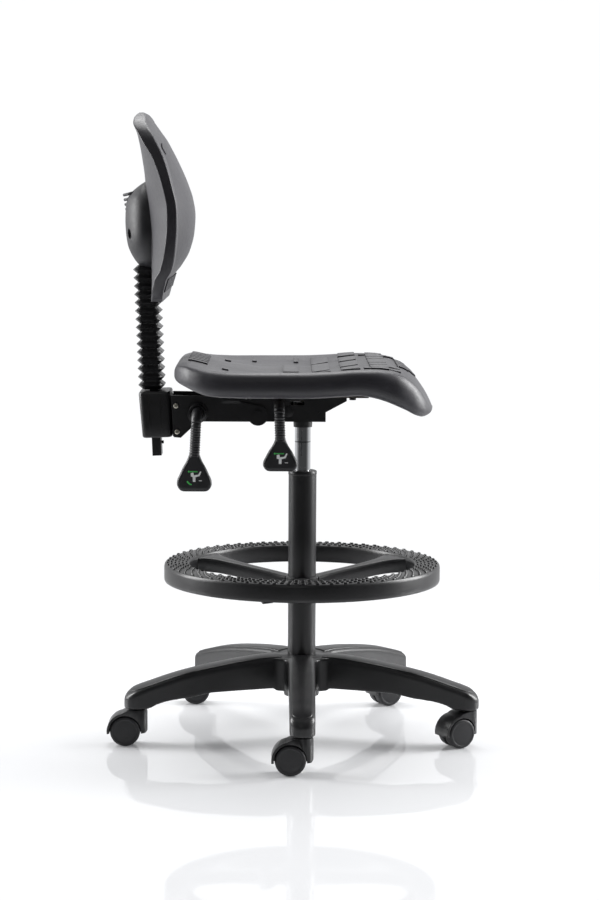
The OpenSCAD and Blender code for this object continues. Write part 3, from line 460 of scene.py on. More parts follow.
LEAN = math.radians(2.48)
BAR_X, BAR_Z = -259.5, 519
BAR = move(BAR_X, 0, BAR_Z) @ Matrix.Rotation(-LEAN, 4, "Y")
BACK_REAR = spline([[0, 6], [70, 5], [145, 3], [217, 0], [258, -4], [300, -8], [316, -6], [324, 0]])
BACK_FRONT = spline([[0, 27], [20, 32], [36, 38], [58, 56], [84, 72], [118, 82], [150, 85],
                     [176, 82], [199, 75.5], [217, 69], [242, 58.5], [258, 51], [280, 39.5],
                     [291, 32], [309, 19.7], [318, 12], [324, 8]])
BACK_RIM = spline([[0, 23.5], [15, 25], [30, 26], [38, 27.5], [46, 32], [52, 36.3], [64, 41],
                   [78, 44.9], [107, 50], [129, 52.7], [159, 53.7], [199, 47.2], [243, 34.9],
                   [280, 16.6], [309, 3.2], [324, 4]])
BACK_EDGE = spline([[0, 9.6], [34, 10], [64, 10.3], [78, 10], [129, 9.4], [159, 9.4], [199, 9.2],
                    [243, 10.4], [280, 12.2], [300, 11.5], [309, 10.4], [324, 9]])
BACK_HALF = spline([[0, 0.6], [4, 0.68], [12, 0.76], [28, 0.84], [60, 0.92], [110, 0.98],
                    [150, 1], [200, 0.99], [240, 0.96], [270, 0.91], [290, 0.85], [305, 0.76],
                    [315, 0.65], [321, 0.53], [324, 0.42]])
back_z0 = low("back_pad").z
back_k = (high("back_pad").z - back_z0) / 324
back_half_w = high("back_pad").y


def bar_line(z):
    return BAR_X - (z - BAR_Z) * math.tan(LEAN)


def back_at(z):
    """Half width, rear, front, edge, rim and flat half width of the back at one height."""
    w = BACK_HALF(z) * back_half_w
    b, f = BACK_REAR(z), BACK_FRONT(z)
    e = min(BACK_EDGE(z), (f - b) * 0.46)
    m = min(max(BACK_RIM(z), b + e), f - e)
    return w, b, f, e, m, w - min(7, e * 0.9)


def back_front(z, y, lift=0):
    w, b, f, e, m, c = back_at(z)
    t = min(abs(y) / c, 1)
    edge = m + e
    plain = edge + (f - edge) * (1 - t * t)
    brim = 0.8 - 0.10 * step(200, 262, z)
    inner = min(t / brim, 1)
    crown = edge + (f - edge) * (1 - inner ** 2.5) if f > edge else plain
    k = step(276, 262, z) * step(36, 52, z)
    return (bar_line(back_z0 + z * back_k) + plain + (crown - plain) * k + lift, y,
            back_z0 + z * back_k)


def rim_profile(e):
    """Flat-faced edge band of half thickness e, from rear to front."""
    r, deep = min(3.4, e * 0.8), min(7, e * 0.9)
    out = [(-e, deep - r)]
    out += [(-e + r - r * cosd(a), deep - r + r * sind(a))
            for a in (22.5, 45, 67.5, 90)]
    out += [(0, deep + 0.3)]
    out += [(e - r + r * sind(a), deep - r + r * cosd(a))
            for a in (0, 22.5, 45, 67.5)]
    out += [(e, deep - r)]
    return out


def back_ring(z):
    """Section of the back pad at one height."""
    w, b, f, e, m, c = back_at(z)
    zz = back_z0 + z * back_k
    x0 = bar_line(zz)
    ring = []
    for i in range(81):
        t = -1 + i / 40
        ring.append((x0 + (m - e) + (b - m + e) * (1 - abs(t) ** 1.9), c * t, zz))
    for q, p in rim_profile(e):
        ring.append((x0 + m + q, c + p, zz))
    for i in range(121):
        ring.append(back_front(z, c * (1 - i / 60)))
    for q, p in rim_profile(e)[::-1]:
        ring.append((x0 + m + q, -c - p, zz))
    return ring


def make_back():
    zs = [0, 0.8, 2, 3.6, 5.6] + spread(8, 312, 148)
    zs += [313.6, 315.2, 316.8, 318.2, 319.6, 321, 322.3, 323.3, 324]
    pad = solid("back_skin", [skin([back_ring(z) for z in zs])], FINISH["polyurethane"], angle=60)
    piece(pad, BODY_OF["back_pad"], "polyurethane", "back_pad")

    def on_back(u, v, lift):
        return back_front(u, v, lift)
    parts = []
    for i in range(-5, 6):
        parts.append(raised(17, 41, i * 27 - 6, i * 27 + 6, 2.6, on_back, 3))
    for s in (-1, 1):
        parts.append(raised(252, 271, s * 122 - 2, s * 122 + 2, 1.6, on_back, 3))
    ribs = solid("back_grip_blocks", parts, FINISH["polyurethane"], angle=50)
    piece(ribs, BODY_OF["back_pad"], "polyurethane")


# ---------------------------------------------------------------- bellows, dome, cover

def make_bellows():
    z0, z1 = low("bellows").z, high("bellows").z
    half_y = high("bellows").y
    half_x, ridges, deep = 23, 15, 7
    pitch = (z1 - z0) / ridges
    rings = []

    def ring(z, inset):
        out = rounded(2 * (half_x - inset), 2 * (half_y - inset), 12 - inset * 0.8, 7)
        return [(bar_line(z) - 4 + x, y, z) for x, y in out]
    for i in range(ridges):
        for share, inset in ((0, deep), (0.07, deep - 0.4), (0.43, 0.7), (0.47, 0.05), (0.53, 0.05),
                             (0.57, 0.7), (0.93, deep - 0.4)):
            rings.append(ring(z0 + (i + share) * pitch, inset))
    rings.append(ring(z1, deep))
    ob = solid("bellows_pleats", [skin(rings)], FINISH["soft_rubber"], angle=30)
    piece(ob, BODY_OF["bellows"], "soft_rubber", "bellows")
    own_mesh(ob)


DOME_Z, DOME_W, DOME_H = 910.5, 82, 78.5
DOME_REAR = spline([[832, -268.6], [834, -276], [838, -285], [846, -294], [855, -300.5],
                    [865, -306], [879, -311], [900, -314], [921, -315], [945, -314.2],
                    [960, -310.5], [971, -303], [979, -294], [986, -284.5], [989, -279.7]])


def behind_pad(z):
    return BAR_X - 5.1 - 16.6 * (z - back_z0) / 230


def pad_rear(y, z):
    w, b, f, e, m, c = back_at((z - back_z0) / back_k)
    t = min(abs(y) / c, 1)
    return bar_line(z) + (m - e) + (b - m + e) * (1 - t ** 1.9)


def make_dome():
    rings = []
    for i in range(1, 61):
        rho = math.sin(PI / 2 * i / 60)
        ring = []
        for j in range(128):
            a = 2 * PI * j / 128
            y, z = DOME_W * rho * math.cos(a), DOME_Z + DOME_H * rho * math.sin(a)
            wide = DOME_W * math.sqrt(max(0, 1 - ((z - DOME_Z) / DOME_H) ** 2))
            q = math.sqrt(max(0, 1 - (y / wide) ** 2)) if wide > 0.01 else 0
            h = (behind_pad(z) - DOME_REAR(z)) * q
            ring.append((behind_pad(z) - h, y, z))
        rings.append(ring)
    rings.append([(pad_rear(y, z) + 2, y, z) for x, y, z in rings[-1]])
    body = solid("dome_shell", [skin(rings)], MATT, angle=50)
    holes = []
    for s in (-1, 1):
        hole = turned([(0.001, 0), (8.5, 0), (10.5, 60), (0.001, 60)], 40)
        spot = middle("dome_screws")
        at = move(-293, s * 42, spot.z) @ turn(-90, "Y") @ turn(-30 * s, "X")
        holes.append(([at @ Vector(v) for v in hole[0]], hole[1]))
    joined(body, solid("dome_holes", holes, MATT), angle=45)
    bevel(body, 0.7, 2, 48)
    piece(body, BODY_OF["dome_cover"], "nylon", "dome_cover")
    fins = []
    for i in range(4):
        half = 27 - 2 * i
        tip, root = -5.5 + 1.4 * i, 24
        outline = [(root, -half), (root, half)]
        outline += [(tip + 15 * (abs(k) ** 2.6), -k * half) for k in spread(-1, 1, 18)]
        at = move(-313.5, 0, 963.5 - 8.6 * i) @ turn(-14, "Y")
        vs, fs = prism(outline, 0, 4.9)
        fins.append(([at @ Vector(v) for v in vs], fs))
    ob = bevel(solid("dome_finger_ribs", fins, MATT), 1.5, 3, 50)
    piece(ob, BODY_OF["dome_cover"], "nylon")
    screws = []
    for s in (-1, 1):
        vs, fs = hex_screw(3.9, 3.2, 2.1)
        at = move(-293.2, s * 42, middle("dome_screws").z) @ turn(-90, "Y")
        screws.append(([at @ Vector(v) for v in vs], fs))
    ob = solid("dome_screw_heads", screws, FINISH["zinc_steel"], angle=30)
    piece(ob, BODY_OF["dome_screws"], "zinc_steel")


def hex_screw(r, height, socket):
    """Button head with a hexagon socket, standing on the plane z = 0."""
    n = 48

    def ring(radius, z):
        return [(radius * math.cos(2 * PI * i / n), radius * math.sin(2 * PI * i / n), z)
                for i in range(n)]

    def hexagon(radius, z):
        out = []
        for i in range(n):
            a = 2 * PI * i / n
            k = radius * math.cos(PI / 6) / math.cos((a % (PI / 3)) - PI / 6)
            out.append((k * math.cos(a), k * math.sin(a), z))
        return out
    rings = [ring(r * 0.97, -0.5), ring(r, 0.1), ring(r, height * 0.35), ring(r * 0.93, height * 0.7),
             ring(r * 0.78, height * 0.93), ring(r * 0.66, height), hexagon(socket * 1.1, height),
             hexagon(socket, height - 0.25), hexagon(socket, height * 0.35)]
    return skin(rings)


def make_bracket_cover():
    half_y = high("bracket_cover").y
    front, w0, w1 = 30, 20.5, 102
    rings = []
    for w, inset in ((w0, 3.5), (w0 + 0.5, 1.7), (w0 + 1.6, 0.6), (w0 + 3.4, 0), (w0 + 26, 0),
                     (w0 + 52, 0), (w1 - 4, 0), (w1 - 1.9, 0.6), (w1 - 0.6, 1.8), (w1, 3.8)):
        rear = -22.9 - 3.8 * (w - w0) / (w1 - w0)
        out = rounded(front - rear - 2 * inset, 2 * (half_y - inset), 10 - inset, 9,
                      ((front + rear) / 2, 0))
        rings.append([(u, y, w) for u, y in out])
    ob = solid("bracket_shell", [skin(rings)], FINISH["nylon"], at=BAR, angle=50)
    slots = []
    for s in (-1, 1):
        for u in (-9, 12):
            slots.append(([BAR @ Vector((x + u, y + s * half_y, z)) for x, y, z in
                           prism(rounded(0.9, 1.6, 0.3, 2), w0 - 2, w1 + 2)[0]],
                          prism(rounded(0.9, 1.6, 0.3, 2), 0, 1)[1]))
    joined(ob, solid("bracket_slots", slots, FINISH["nylon"]), angle=45)
    piece(ob, BODY_OF["bracket_cover"], "nylon", "bracket_cover")
    screws = []
    for w in (30, 76):
        for s in (-1, 1):
            vs, fs = hex_screw(4.6, 3, 2.3)
            at = BAR @ move(39, s * 47.4, w) @ turn(-90 * s, "X")
            screws.append(([at @ Vector(v) for v in vs], fs))
    ob = solid("bracket_screw_heads", screws, FINISH["zinc_steel"], angle=30)
    piece(ob, BODY_OF["bracket_screws"], "zinc_steel", "bracket_screws")


# ---------------------------------------------------------------- levers

def grip(name, node, x, z, start, out, drop, pad_w, pad_h, ridge_from, slant=0.0):
    """Corrugated sleeve that bends down from the mechanism and ends in a flat paddle."""
    bend, r = 22, 9.4
    path = [Vector((x, -y, z)) for y in spread(start, out - bend, 10)]
    for a in spread(0, 90, 20)[1:]:
        path.append(Vector((x, -(out - bend) - bend * sind(a),
                            z - bend + bend * cosd(a))))
    last = z - drop + 1
    n = int((path[-1].z - last) / 0.58)
    path += [Vector((x, -out, zz)) for zz in spread(path[-1].z, last, n)][1:]
    rings = []
    for i, p in enumerate(path):
        along = (path[min(i + 1, len(path) - 1)] - path[max(i - 1, 0)]).normalized()
        side = Vector((1, 0, 0))
        up = along.cross(side).normalized()
        swell = 0
        if z - p.z > ridge_from:
            wave = 0.5 - 0.5 * math.cos(2 * PI * (z - p.z) / 4.4)
            swell = -1.3 * wave * step(last - 1, last + 3, p.z)
        p = p + Vector((slant * (z - p.z), 0, 0))
        rings.append([p + (r + swell) * (math.cos(2 * PI * j / 28) * side + math.sin(2 * PI * j / 28) * up)
                      for j in range(28)])
    top, foot = z - drop, -pad_h
    half = spline([[-pad_h, 0.62], [-pad_h * 0.985, 0.74], [-pad_h * 0.95, 0.84], [-pad_h * 0.88, 0.94],
                   [-pad_h * 0.78, 1], [-pad_h * 0.68, 0.985], [-pad_h * 0.5, 0.84],
                   [-pad_h * 0.3, 0.66], [-pad_h * 0.12, 0.46], [0, 0.36], [7, 0.28]])
    levels = [-pad_h * (1 - math.cos(PI * i / 30)) / 2 for i in range(31)][::-1] + [3.5, 7]
    layers = []
    for h in levels:
        w = half(h) * pad_w / 2
        deep = min(6, 1.2 + 5.4 * math.sqrt(max(0.0, (h + pad_h) / 6))) if h < -pad_h + 6 else 6
        deep = min(deep, 6)
        flat = max(w - 4.5, 0.6 * w)
        ring = []
        for s in (1, -1):
            for u in spread(-flat, flat, 10):
                ring.append((s * u, s * deep * 1.0, h))
            for a in (22.5, 45, 67.5):
                ring.append((s * (flat + (w - flat) * sind(a)),
                             s * deep * cosd(a), h))
            ring.append((s * w, 0, h))
            for a in (67.5, 45, 22.5):
                ring.append((s * (flat + (w - flat) * sind(a)),
                             -s * deep * cosd(a), h))
        layers.append([(px + x + slant * drop, py - out, pz + top) for px, py, pz in ring])
    ob = solid(name, [skin(rings), skin(layers)], FINISH["grip_plastic"], angle=40)
    piece(ob, BODY_OF[node], "grip_plastic", node)
    return x + slant * drop, -out - 6.02, top - pad_h * 0.55


def print_on(name, body, at, shapes, mat):
    """Thin printed shapes on a paddle; each is an outline in its x and z."""
    parts = []
    for outline in shapes:
        vs, fs = prism(outline, 0, 0.22)
        parts.append(([(at[0] + v[0], at[1] - v[2], at[2] + v[1]) for v in vs], fs))
    ob = solid(name, parts, mat)
    piece(ob, body, "grip_plastic")


def make_levers():
    rake_x, rake_z = middle("lever_boot").x, middle("lever_boot").z
    gas_x, gas_z = -42, 606
    gas = grip("gas_lever_sleeve", "gas_grip", gas_x, gas_z, 46, 128, 64, 60, 51, 4, 0.036)
    rake = grip("rake_lever_sleeve", "rake_grip", rake_x, rake_z, 46, 96, 74, 61, 60, 12, -0.05)
    rods = [("gas_lever", gas_x, gas_z, 20, 60), ("rake_lever", rake_x, rake_z, 32.3, 60)]
    for name, x, z, y0, y1 in rods:
        at = move(x, -y0, z) @ turn(90, "X")
        vs, fs = turned([(0.001, 0), (3.2, 0), (4, 0.8), (4, y1 - y0), (0.001, y1 - y0)], 40)
        parts = [([at @ Vector(v) for v in vs], fs)]
        pin = turned([(0.001, -6.3), (2, -6.3), (2, 6.3), (0.001, 6.3)], 24)
        at = move(x, -42.5 if y0 < 30 else -45.8, z) @ turn(90, "Y")
        parts.append(([at @ Vector(v) for v in pin[0]], pin[1]))
        if name == "gas_lever":
            for x0, x1, ya, yb in ((x - 4, -4, -25, -15), (-5, 5, -25, 3)):
                outline = rounded(x1 - x0, yb - ya, 2, 4, ((x0 + x1) / 2, (ya + yb) / 2))
                vs, fs = prism(outline, z + 0.6, z + 4.1)
                parts.append((vs, fs))
        ob = solid(name + "_rod", parts, FINISH["zinc_steel"], angle=30)
        piece(ob, BODY_OF[name], "zinc_steel", name)
    seat = [[(-6, 6), (-1.5, 7), (-0.5, 2.2), (7, 3.4), (10.5, 9.5), (12.5, 8.5), (9.6, 0.8), (2.4, -1),
             (2.2, -9.5), (-2.4, -9.5), (-2.6, -1.2), (-6.2, 0.2)],
            [(8, -8), (13.5, -8), (13.5, -6.8), (8, -6.8)]]
    bar = [[(-9, 9.4), (6, 9.4), (6, 7.6), (-9, 7.6)], [(-11.5, 8.5), (-9, 10.8), (-9, 6.2)]]
    sweep = [arc(-3, -4, 11.5, 205, 262, 8) + arc(-3, -4, 9, 262, 205, 8)]
    for name, where, body, extra in (("gas", gas, BODY_OF["gas_grip"], []),
                                     ("rake", rake, BODY_OF["rake_grip"], sweep)):
        print_on(name + "_mark_white", body, where, seat, WHITE)
        print_on(name + "_mark_green", body, where, bar + extra, GREEN)
    ring = turned([(11.2, 0), (18.6, 0), (19, 0.9), (18.4, 2.4), (16.4, 3.1), (15.4, 3.4), (15, 4.4),
                   (14.2, 5.8), (12.6, 6.4), (11.2, 6.2)], 72)
    at = move(rake_x, -47.3, rake_z) @ turn(90, "X")
    ob = solid("lever_boot_ring", [skin([[tuple(v) for v in ring[0][i * 72:(i + 1) * 72]]
                                         for i in [*range(10), 0]], caps=False)],
               FINISH["soft_rubber"], at=at, angle=30)
    piece(ob, BODY_OF["lever_boot"], "soft_rubber", "lever_boot")


# ---------------------------------------------------------------- base

ARM_TOP = spline([[0, 145.8], [60, 145.2], [120, 140], [165, 134], [208, 127], [232, 122],
                  [254, 116.5], [275, 110.5], [295, 105], [311, 99], [322, 92], [328, 84]])
ARM_UNDER = spline([[0, 86], [72, 89], [170, 88], [219, 81], [245, 79], [273, 73.5], [290, 66.5],
                    [328, 66]])
stem_r = middle("stem_2").xy.length


def arm_half(r):
    w = 24.5 - 2.6 * r / stem_r
    reach = 22.2
    if r > stem_r:
        w = min(w, math.sqrt(max(reach ** 2 - (r - stem_r) ** 2, 0.01)))
    return w


def arm_ring(r, inset=0.0, drop=0.0, floor=None):
    w, t = arm_half(r) - inset, ARM_TOP(r) - drop
    u = ARM_UNDER(r) if floor is None else floor
    edge = max(min(8 - inset, w * 0.6, (t - u) * 0.3), 0.2)
    crown = 1.2 if inset == 0 else 0
    ring = [(r, -w, u), (r, -w, u + (t - u) * 0.4), (r, -w, t - edge)]
    ring += [(r, -w + edge - edge * cosd(a), t - edge + edge * sind(a))
             for a in (22.5, 45, 67.5)]
    flat = w - edge
    ring += [(r, flat * k, t + crown * (1 - k * k)) for k in spread(-1, 1, 6)]
    ring += [(r, w - edge + edge * cosd(a), t - edge + edge * sind(a))
             for a in (67.5, 45, 22.5)]
    ring += [(r, w, t - edge), (r, w, u + (t - u) * 0.4), (r, w, u)]
    return ring


def make_base():
    stops = spread(0, stem_r, 40) + [stem_r + 22 * math.sin(PI / 2 * k) for k in spread(0, 1, 12)[1:]]
    arms, hollows, panels = [], [], []
    reach, edge_w = 318, 4.2
    for i in range(5):
        at = turn(198 + 72 * i, "Z")

        def put(part, at=at):
            return [at @ Vector(v) for v in part[0]], part[1]
        arms.append(put(skin([arm_ring(r) for r in stops])))
        # concave web between this arm and the next
        mid = math.radians(36)
        far = (24 + 19) / math.sin(mid)
        curve = [(far * math.cos(mid) + 19 * math.cos(a), far * math.sin(mid) + 19 * math.sin(a))
                 for a in spread(mid + PI - PI / 2 + mid, mid + PI + PI / 2 - mid, 14)]
        outline = [(0, 0)] + sorted(curve, key=lambda p: math.atan2(p[1], p[0]))
        arms.append(put(prism(outline, 84, 143.2)))
        for r0, r1 in ((52, 122), (126, 196), (200, 276)):
            rs = spread(r0, r1, 12)
            hollows.append(put(skin([arm_ring(r, 4, 4.5, 40) for r in rs])))
        hollows.append(put(([(v[0] + stem_r, v[1], v[2] + 60) for v in
                             turned([(0.001, 0), (5.7, 0), (5.7, 37), (0.001, 37)], 32)[0]],
                            turned([(0.001, 0), (5.7, 0), (5.7, 37), (0.001, 37)], 32)[1])))
        rows = []
        nose = [reach - 18 + 18 * math.sin(PI / 2 * k) for k in spread(0, 1, 12)[1:]]
        for r in spread(44, reach - 18, 60) + nose:
            w = arm_half(min(r, stem_r)) - edge_w
            if r > reach - 18:
                w = w * math.sqrt(max(1 - ((r - reach + 18) / 18) ** 2, 0.0004))
            row = []
            for k, lift in ((-1, -3), (-1, 0.45), (-0.975, 0.85), (-0.94, 1.05)):
                row.append((k, lift))
            row += [(k, 1.15) for k in spread(-0.8, 0.8, 8)]
            row += [(0.94, 1.05), (0.975, 0.85), (1, 0.45), (1, -3)]
            full = arm_half(r)
            line = []
            for k, lift in row:
                y = k * w
                edge = 8
                past = max(abs(y) - (full - edge), 0)
                fall = edge - math.sqrt(max(edge ** 2 - past ** 2, 0))
                rise = 1.2 * (1 - min(abs(y) / (full - edge), 1) ** 2)
                line.append((r, y, ARM_TOP(r) + rise - fall + lift))
            rows.append(line)
        panels.append(put(skin(rows, closed=False, caps=False)))
    arms.append(turned([(0.001, 88), (46, 88), (46, 138), (44, 143), (40, 145.4), (0.001, 145.4)], 96))
    arms.append(turned([(0.001, 70), (32, 70), (32, 90), (0.001, 90)], 72))
    body = solid("base_casting", arms, FINISH["nylon"])
    m = body.modifiers.new("blend", "REMESH")
    m.mode = "VOXEL"
    m.voxel_size = 1.9 * MM
    m = body.modifiers.new("soften", "SMOOTH")
    m.factor = 0.5
    m.iterations = 9
    settle(body)
    hollows.append(turned([(0.001, 60), (25.2, 60), (25.2, 150), (0.001, 150)], 72))
    joined(body, solid("base_hollows", hollows, FINISH["nylon"]), solver="MANIFOLD", angle=42)
    body.data.materials.clear()
    body.data.materials.append(FINISH["nylon"])
    piece(body, BODY_OF["star_base"], "nylon", "star_base")
    ob = solid("base_arm_panels", panels, FINISH["nylon"], angle=50)
    piece(ob, BODY_OF["star_base"], "nylon")
    collar = turned([(26.6, 138), (26.6, 145.2), (27, 146), (28.4, 146.2), (30, 145.6),
                     (31.5, 144.2), (32, 140)], 96)
    open_faces = [f for f in collar[1] if max(f) < 7 * 96 and len(f) == 4]
    ob = solid("base_collar", [(collar[0][:7 * 96], open_faces)],
               FINISH["nylon"], angle=50)
    piece(ob, BODY_OF["star_base"], "nylon")


def along(a, b):
    """Frame of a castor: origin on the floor under the stem, X towards the axle."""
    d = (b - a).xy.normalized()
    return Matrix(((d.x, -d.y, 0, a.x), (d.y, d.x, 0, a.y), (0, 0, 1, 0), (0, 0, 0, 1)))


def make_castors():
    trail = (middle("axle_2") - middle("stem_2")).xy.length
    r = middle("axle_2").z
    top = high("castor_hood_2").z
    out_r, in_r, half, nose = r + 5.6, r + 1.6, 20.5, 19
    wheel = [(0.001, 0), (r - 1.2, 0), (r - 0.3, 0.4), (r, 1.3), (r, 6), (r + 0.0, 12),
             (r - 0.25, 14.2), (r - 0.9, 15.8), (r - 2.1, 17), (r - 3.6, 17.6), (r - 5.2, 17.75),
             (r - 5.8, 17.35), (r - 6.5, 17.3), (r - 9, 17.55), (8, 18), (0.001, 18)]
    for i in range(1, 6):
        at = along(middle(f"stem_{i}"), middle(f"axle_{i}"))
        outline = arc(trail, r, out_r, 78, -8, 26)[::1]
        outline += [(trail + in_r - 1, r - 4), (-nose + 3.5, r - 4), (-nose, r - 0.5), (-nose, top - 5),
                    (-nose + 1.5, top - 1.5), (-nose + 5, top), (6, top), (14, top - 0.8), (20, top - 2.6)]
        vs, fs = prism(outline, -half, half)
        hood = solid(f"castor_{i}_hood", [([(x, z, y) for x, y, z in vs], fs)], FINISH["nylon"], at=at)
        plan = arc(0, 0, nose, 90, 270, 32) + [(trail + 40, -half), (trail + 40, half)]
        plan[0], plan[32] = (0, nose), (0, -nose)
        plan = [(x, y) for x, y in plan[:33]]
        plan += [(8, -half), (trail + 40, -half), (trail + 40, half), (8, half)]
        joined(hood, solid("plan", [prism(plan, 0, 90)], FINISH["nylon"], at=at), "INTERSECT")
        bevel(hood, 1.5, 3, 32)
        wells = []
        for s in (-1, 1):
            vs, fs = turned([(0.001, 0), (in_r, 0), (in_r, 30), (0.001, 30)], 72)
            well = move(trail, s * 2.5, r) @ turn(-90 * s, "X")
            wells.append(([well @ Vector(v) for v in vs], fs))
        joined(hood, solid("wells", wells, FINISH["nylon"], at=at), angle=38)
        bevel(hood, 0.5, 2, 42)
        piece(hood, BODY_OF[f"castor_hood_{i}"], "nylon", f"castor_hood_{i}")
        for side, s in (("near", 1), ("far", -1)):
            vs, fs = turned(wheel, 80)
            spot = middle(f"wheel_{side}_{i}")
            local = at.inverted() @ spot
            s = 1 if local.y > 0 else -1
            tilt = move(trail, s * 3, r) @ turn(-90 * s, "X")
            ob = solid(f"castor_{i}_wheel_{side}", [(vs, fs)], FINISH["wheel_nylon"],
                       at=at @ tilt, angle=30)
            piece(ob, BODY_OF[f"wheel_{side}_{i}"], "wheel_nylon", f"wheel_{side}_{i}")
        washer = [(5.6, top - 1), (9, top - 1), (9, top + 0.5), (8.4, top + 1.4), (5.6, top + 1.6)]
        ob = solid(f"castor_{i}_ring", [turned(washer, 40)], FINISH["zinc_steel"], at=at, angle=30)
        piece(ob, BODY_OF[f"stem_{i}"], "zinc_steel")


# ---------------------------------------------------------------- foot ring

# Half length, half width and height of a tread stud at each of its levels
STUD = ((4.1, 2.0, -0.4), (3.8, 1.8, 1.7), (3.2, 1.4, 2.4), (2.3, 0.8, 2.6))


def make_foot_ring():
    R = high("foot_ring").x
    top = high("foot_ring").z - 2.6
    bottom = high("foot_ring").z - 34
    inner = R - 46
    profile = [(R - 3, bottom), (R - 1, bottom + 0.8), (R - 0.2, bottom + 2.4), (R, bottom + 6),
               (R, top - 6), (R - 0.6, top - 2.6), (R - 2, top - 0.8), (R - 4.4, top),
               (inner + 4.4, top), (inner + 1.6, top - 0.9), (inner + 0.4, top - 2.8), (inner, top - 6),
               (inner, bottom + 3), (inner + 0.8, bottom + 0.8), (inner + 2.6, bottom),
               (inner + 4, bottom + 0.6), (inner + 4, top - 5), (R - 4, top - 5), (R - 4, bottom + 0.6)]
    n = 288
    rings = []
    for i in range(n):
        a = 2 * PI * i / n
        rings.append([(r * math.cos(a), r * math.sin(a), z) for r, z in profile])
    vs, fs = skin(rings + [rings[0]], caps=False)
    parts = [(vs, fs)]
    ob = solid("ring_band", parts, FINISH["nylon"], angle=32)
    piece(ob, BODY_OF["foot_ring"], "nylon", "foot_ring")
    studs = []
    count = 62
    for row in range(6):
        rr = inner + 6.4 + row * 6.7
        for i in range(count):
            a = 2 * PI * (i + (row % 2) * 0.5) / count
            ca, sa = math.cos(a), math.sin(a)
            loops = []
            for half_t, half_r, z in STUD:
                loop = []
                for u, v in rounded(2 * half_t, 2 * half_r, half_r * 0.75, 2):
                    x, y = rr + v, u
                    loop.append((x * ca - y * sa, x * sa + y * ca, top + z))
                loops.append(loop)
            studs.append(skin(loops, caps=False))
            k = len(loops) - 1
            m = len(loops[0])
            studs[-1][1].append(tuple(range(k * m, k * m + m)))
    ob = solid("ring_studs", studs, FINISH["nylon"], angle=40)
    piece(ob, BODY_OF["foot_ring"], "nylon")
    hub_top, hub_bot = high("foot_ring").z - 27, low("foot_ring").z
    spokes = []
    wide = spline([[27, 15], [50, 12.5], [90, 11.5], [130, 12.5], [160, 16], [185, 25], [203, 40]])
    crest = spline([[27, hub_top - 0.5], [50, hub_top + 3], [100, hub_top + 9.5], [150, hub_top + 16],
                    [185, hub_top + 20.5], [203, hub_top + 21.5]])
    base = spline([[27, hub_top - 30], [60, hub_top - 24], [130, hub_top - 12], [170, hub_top - 7],
                   [203, hub_top - 4]])
    for i in range(3):
        at = turn(30 + 120 * i, "Z")
        rings = []
        for r in spread(27, inner + 2.5, 44):
            w, t, u = wide(r), crest(r), base(r)
            e = min(5.5, w * 0.45)
            ring = []
            for k in spread(-1, 1, 8):
                ring.append((0, (w - e) * k, t - 0.8 * k * k))
            for a in (67.5, 45, 22.5, 0):
                ring.append((0, w - e + e * cosd(a), t - 0.8 - e + e * sind(a)))
            ring.append((0, w + 0.6, u + 3))
            ring.append((0, w - 1.5, u))
            ring.append((0, -w + 1.5, u))
            ring.append((0, -w - 0.6, u + 3))
            for a in (0, 22.5, 45, 67.5):
                ring.append((0, -w + e - e * cosd(a), t - 0.8 - e + e * sind(a)))
            round_off = step(120, 190, r)
            rings.append([(math.sqrt(max(r * r - y * y * round_off, 1)), y, z) for _, y, z in ring])
        vs, fs = skin(rings)
        spokes.append(([at @ Vector(v) for v in vs], fs))
    ob = solid("ring_spokes", spokes, FINISH["nylon"], angle=45)
    piece(ob, BODY_OF["foot_ring"], "nylon")
    hub = [(25.1, hub_bot), (27.6, hub_bot), (28.6, hub_bot + 1), (29, hub_bot + 3), (29, hub_top - 4),
           (28.5, hub_top - 1.4), (27.4, hub_top - 0.4), (26.2, hub_top), (25.1, hub_top - 0.6)]
    rings = []
    for i in range(97):
        a = 2 * PI * i / 96
        rings.append([(r * math.cos(a), r * math.sin(a), z) for r, z in hub])
    boss = turned([(0.001, 26), (13, 26), (12, 40), (12, 51.5), (11, 52.8), (4.3, 52.8), (4.3, 40),
                   (0.001, 40)], 48)
    at = turn(210, "Z") @ move(0, 0, hub_bot + 21) @ turn(90, "Y")
    ob = solid("ring_hub", [skin(rings, caps=False), ([at @ Vector(v) for v in boss[0]], boss[1])],
               FINISH["nylon"], angle=35)
    piece(ob, BODY_OF["foot_ring"], "nylon")
    outline = []
    for i in range(144):
        a = 2 * PI * i / 144
        k = 18.2 + 1.8 * math.cos(6 * a)
        outline.append((k * math.cos(a), k * math.sin(a)))
    knob = solid("knob_grip", [prism(outline, 60, 82)], FINISH["nylon"], at=at)
    bevel(knob, 2.2, 4, 50)
    piece(knob, BODY_OF["ring_knob"], "nylon", "ring_knob")
    stem = turned([(4, 25.6), (4, 53.4), (8.6, 53.6), (9, 54.4), (9, 61)], 48)
    ob = solid("knob_stud", [stem], FINISH["zinc_steel"], at=at, angle=30)
    piece(ob, BODY_OF["ring_knob"], "zinc_steel")


# ---------------------------------------------------------------- column and mechanism details

def ring_piece(name, node, slot, profile, n=80):
    rings = []
    for i in range(n + 1):
        a = 2 * PI * i / n
        rings.append([(r * math.cos(a), r * math.sin(a), z) for r, z in profile])
    ob = solid(name, [skin(rings, caps=False)], FINISH[slot], angle=30)
    return piece(ob, BODY_OF[node], slot)


def plate_on(name, node, slot, outline, y, thick, width=0.35):
    """Thin raised plate on the side that faces -Y; the outline is in x and z."""
    vs, fs = prism(outline, -0.3, thick)
    ob = solid(name, [([(a, y - h, b) for a, b, h in vs], fs)], FINISH[slot])
    bevel(ob, width, 2, 50)
    return piece(ob, BODY_OF[node], slot)


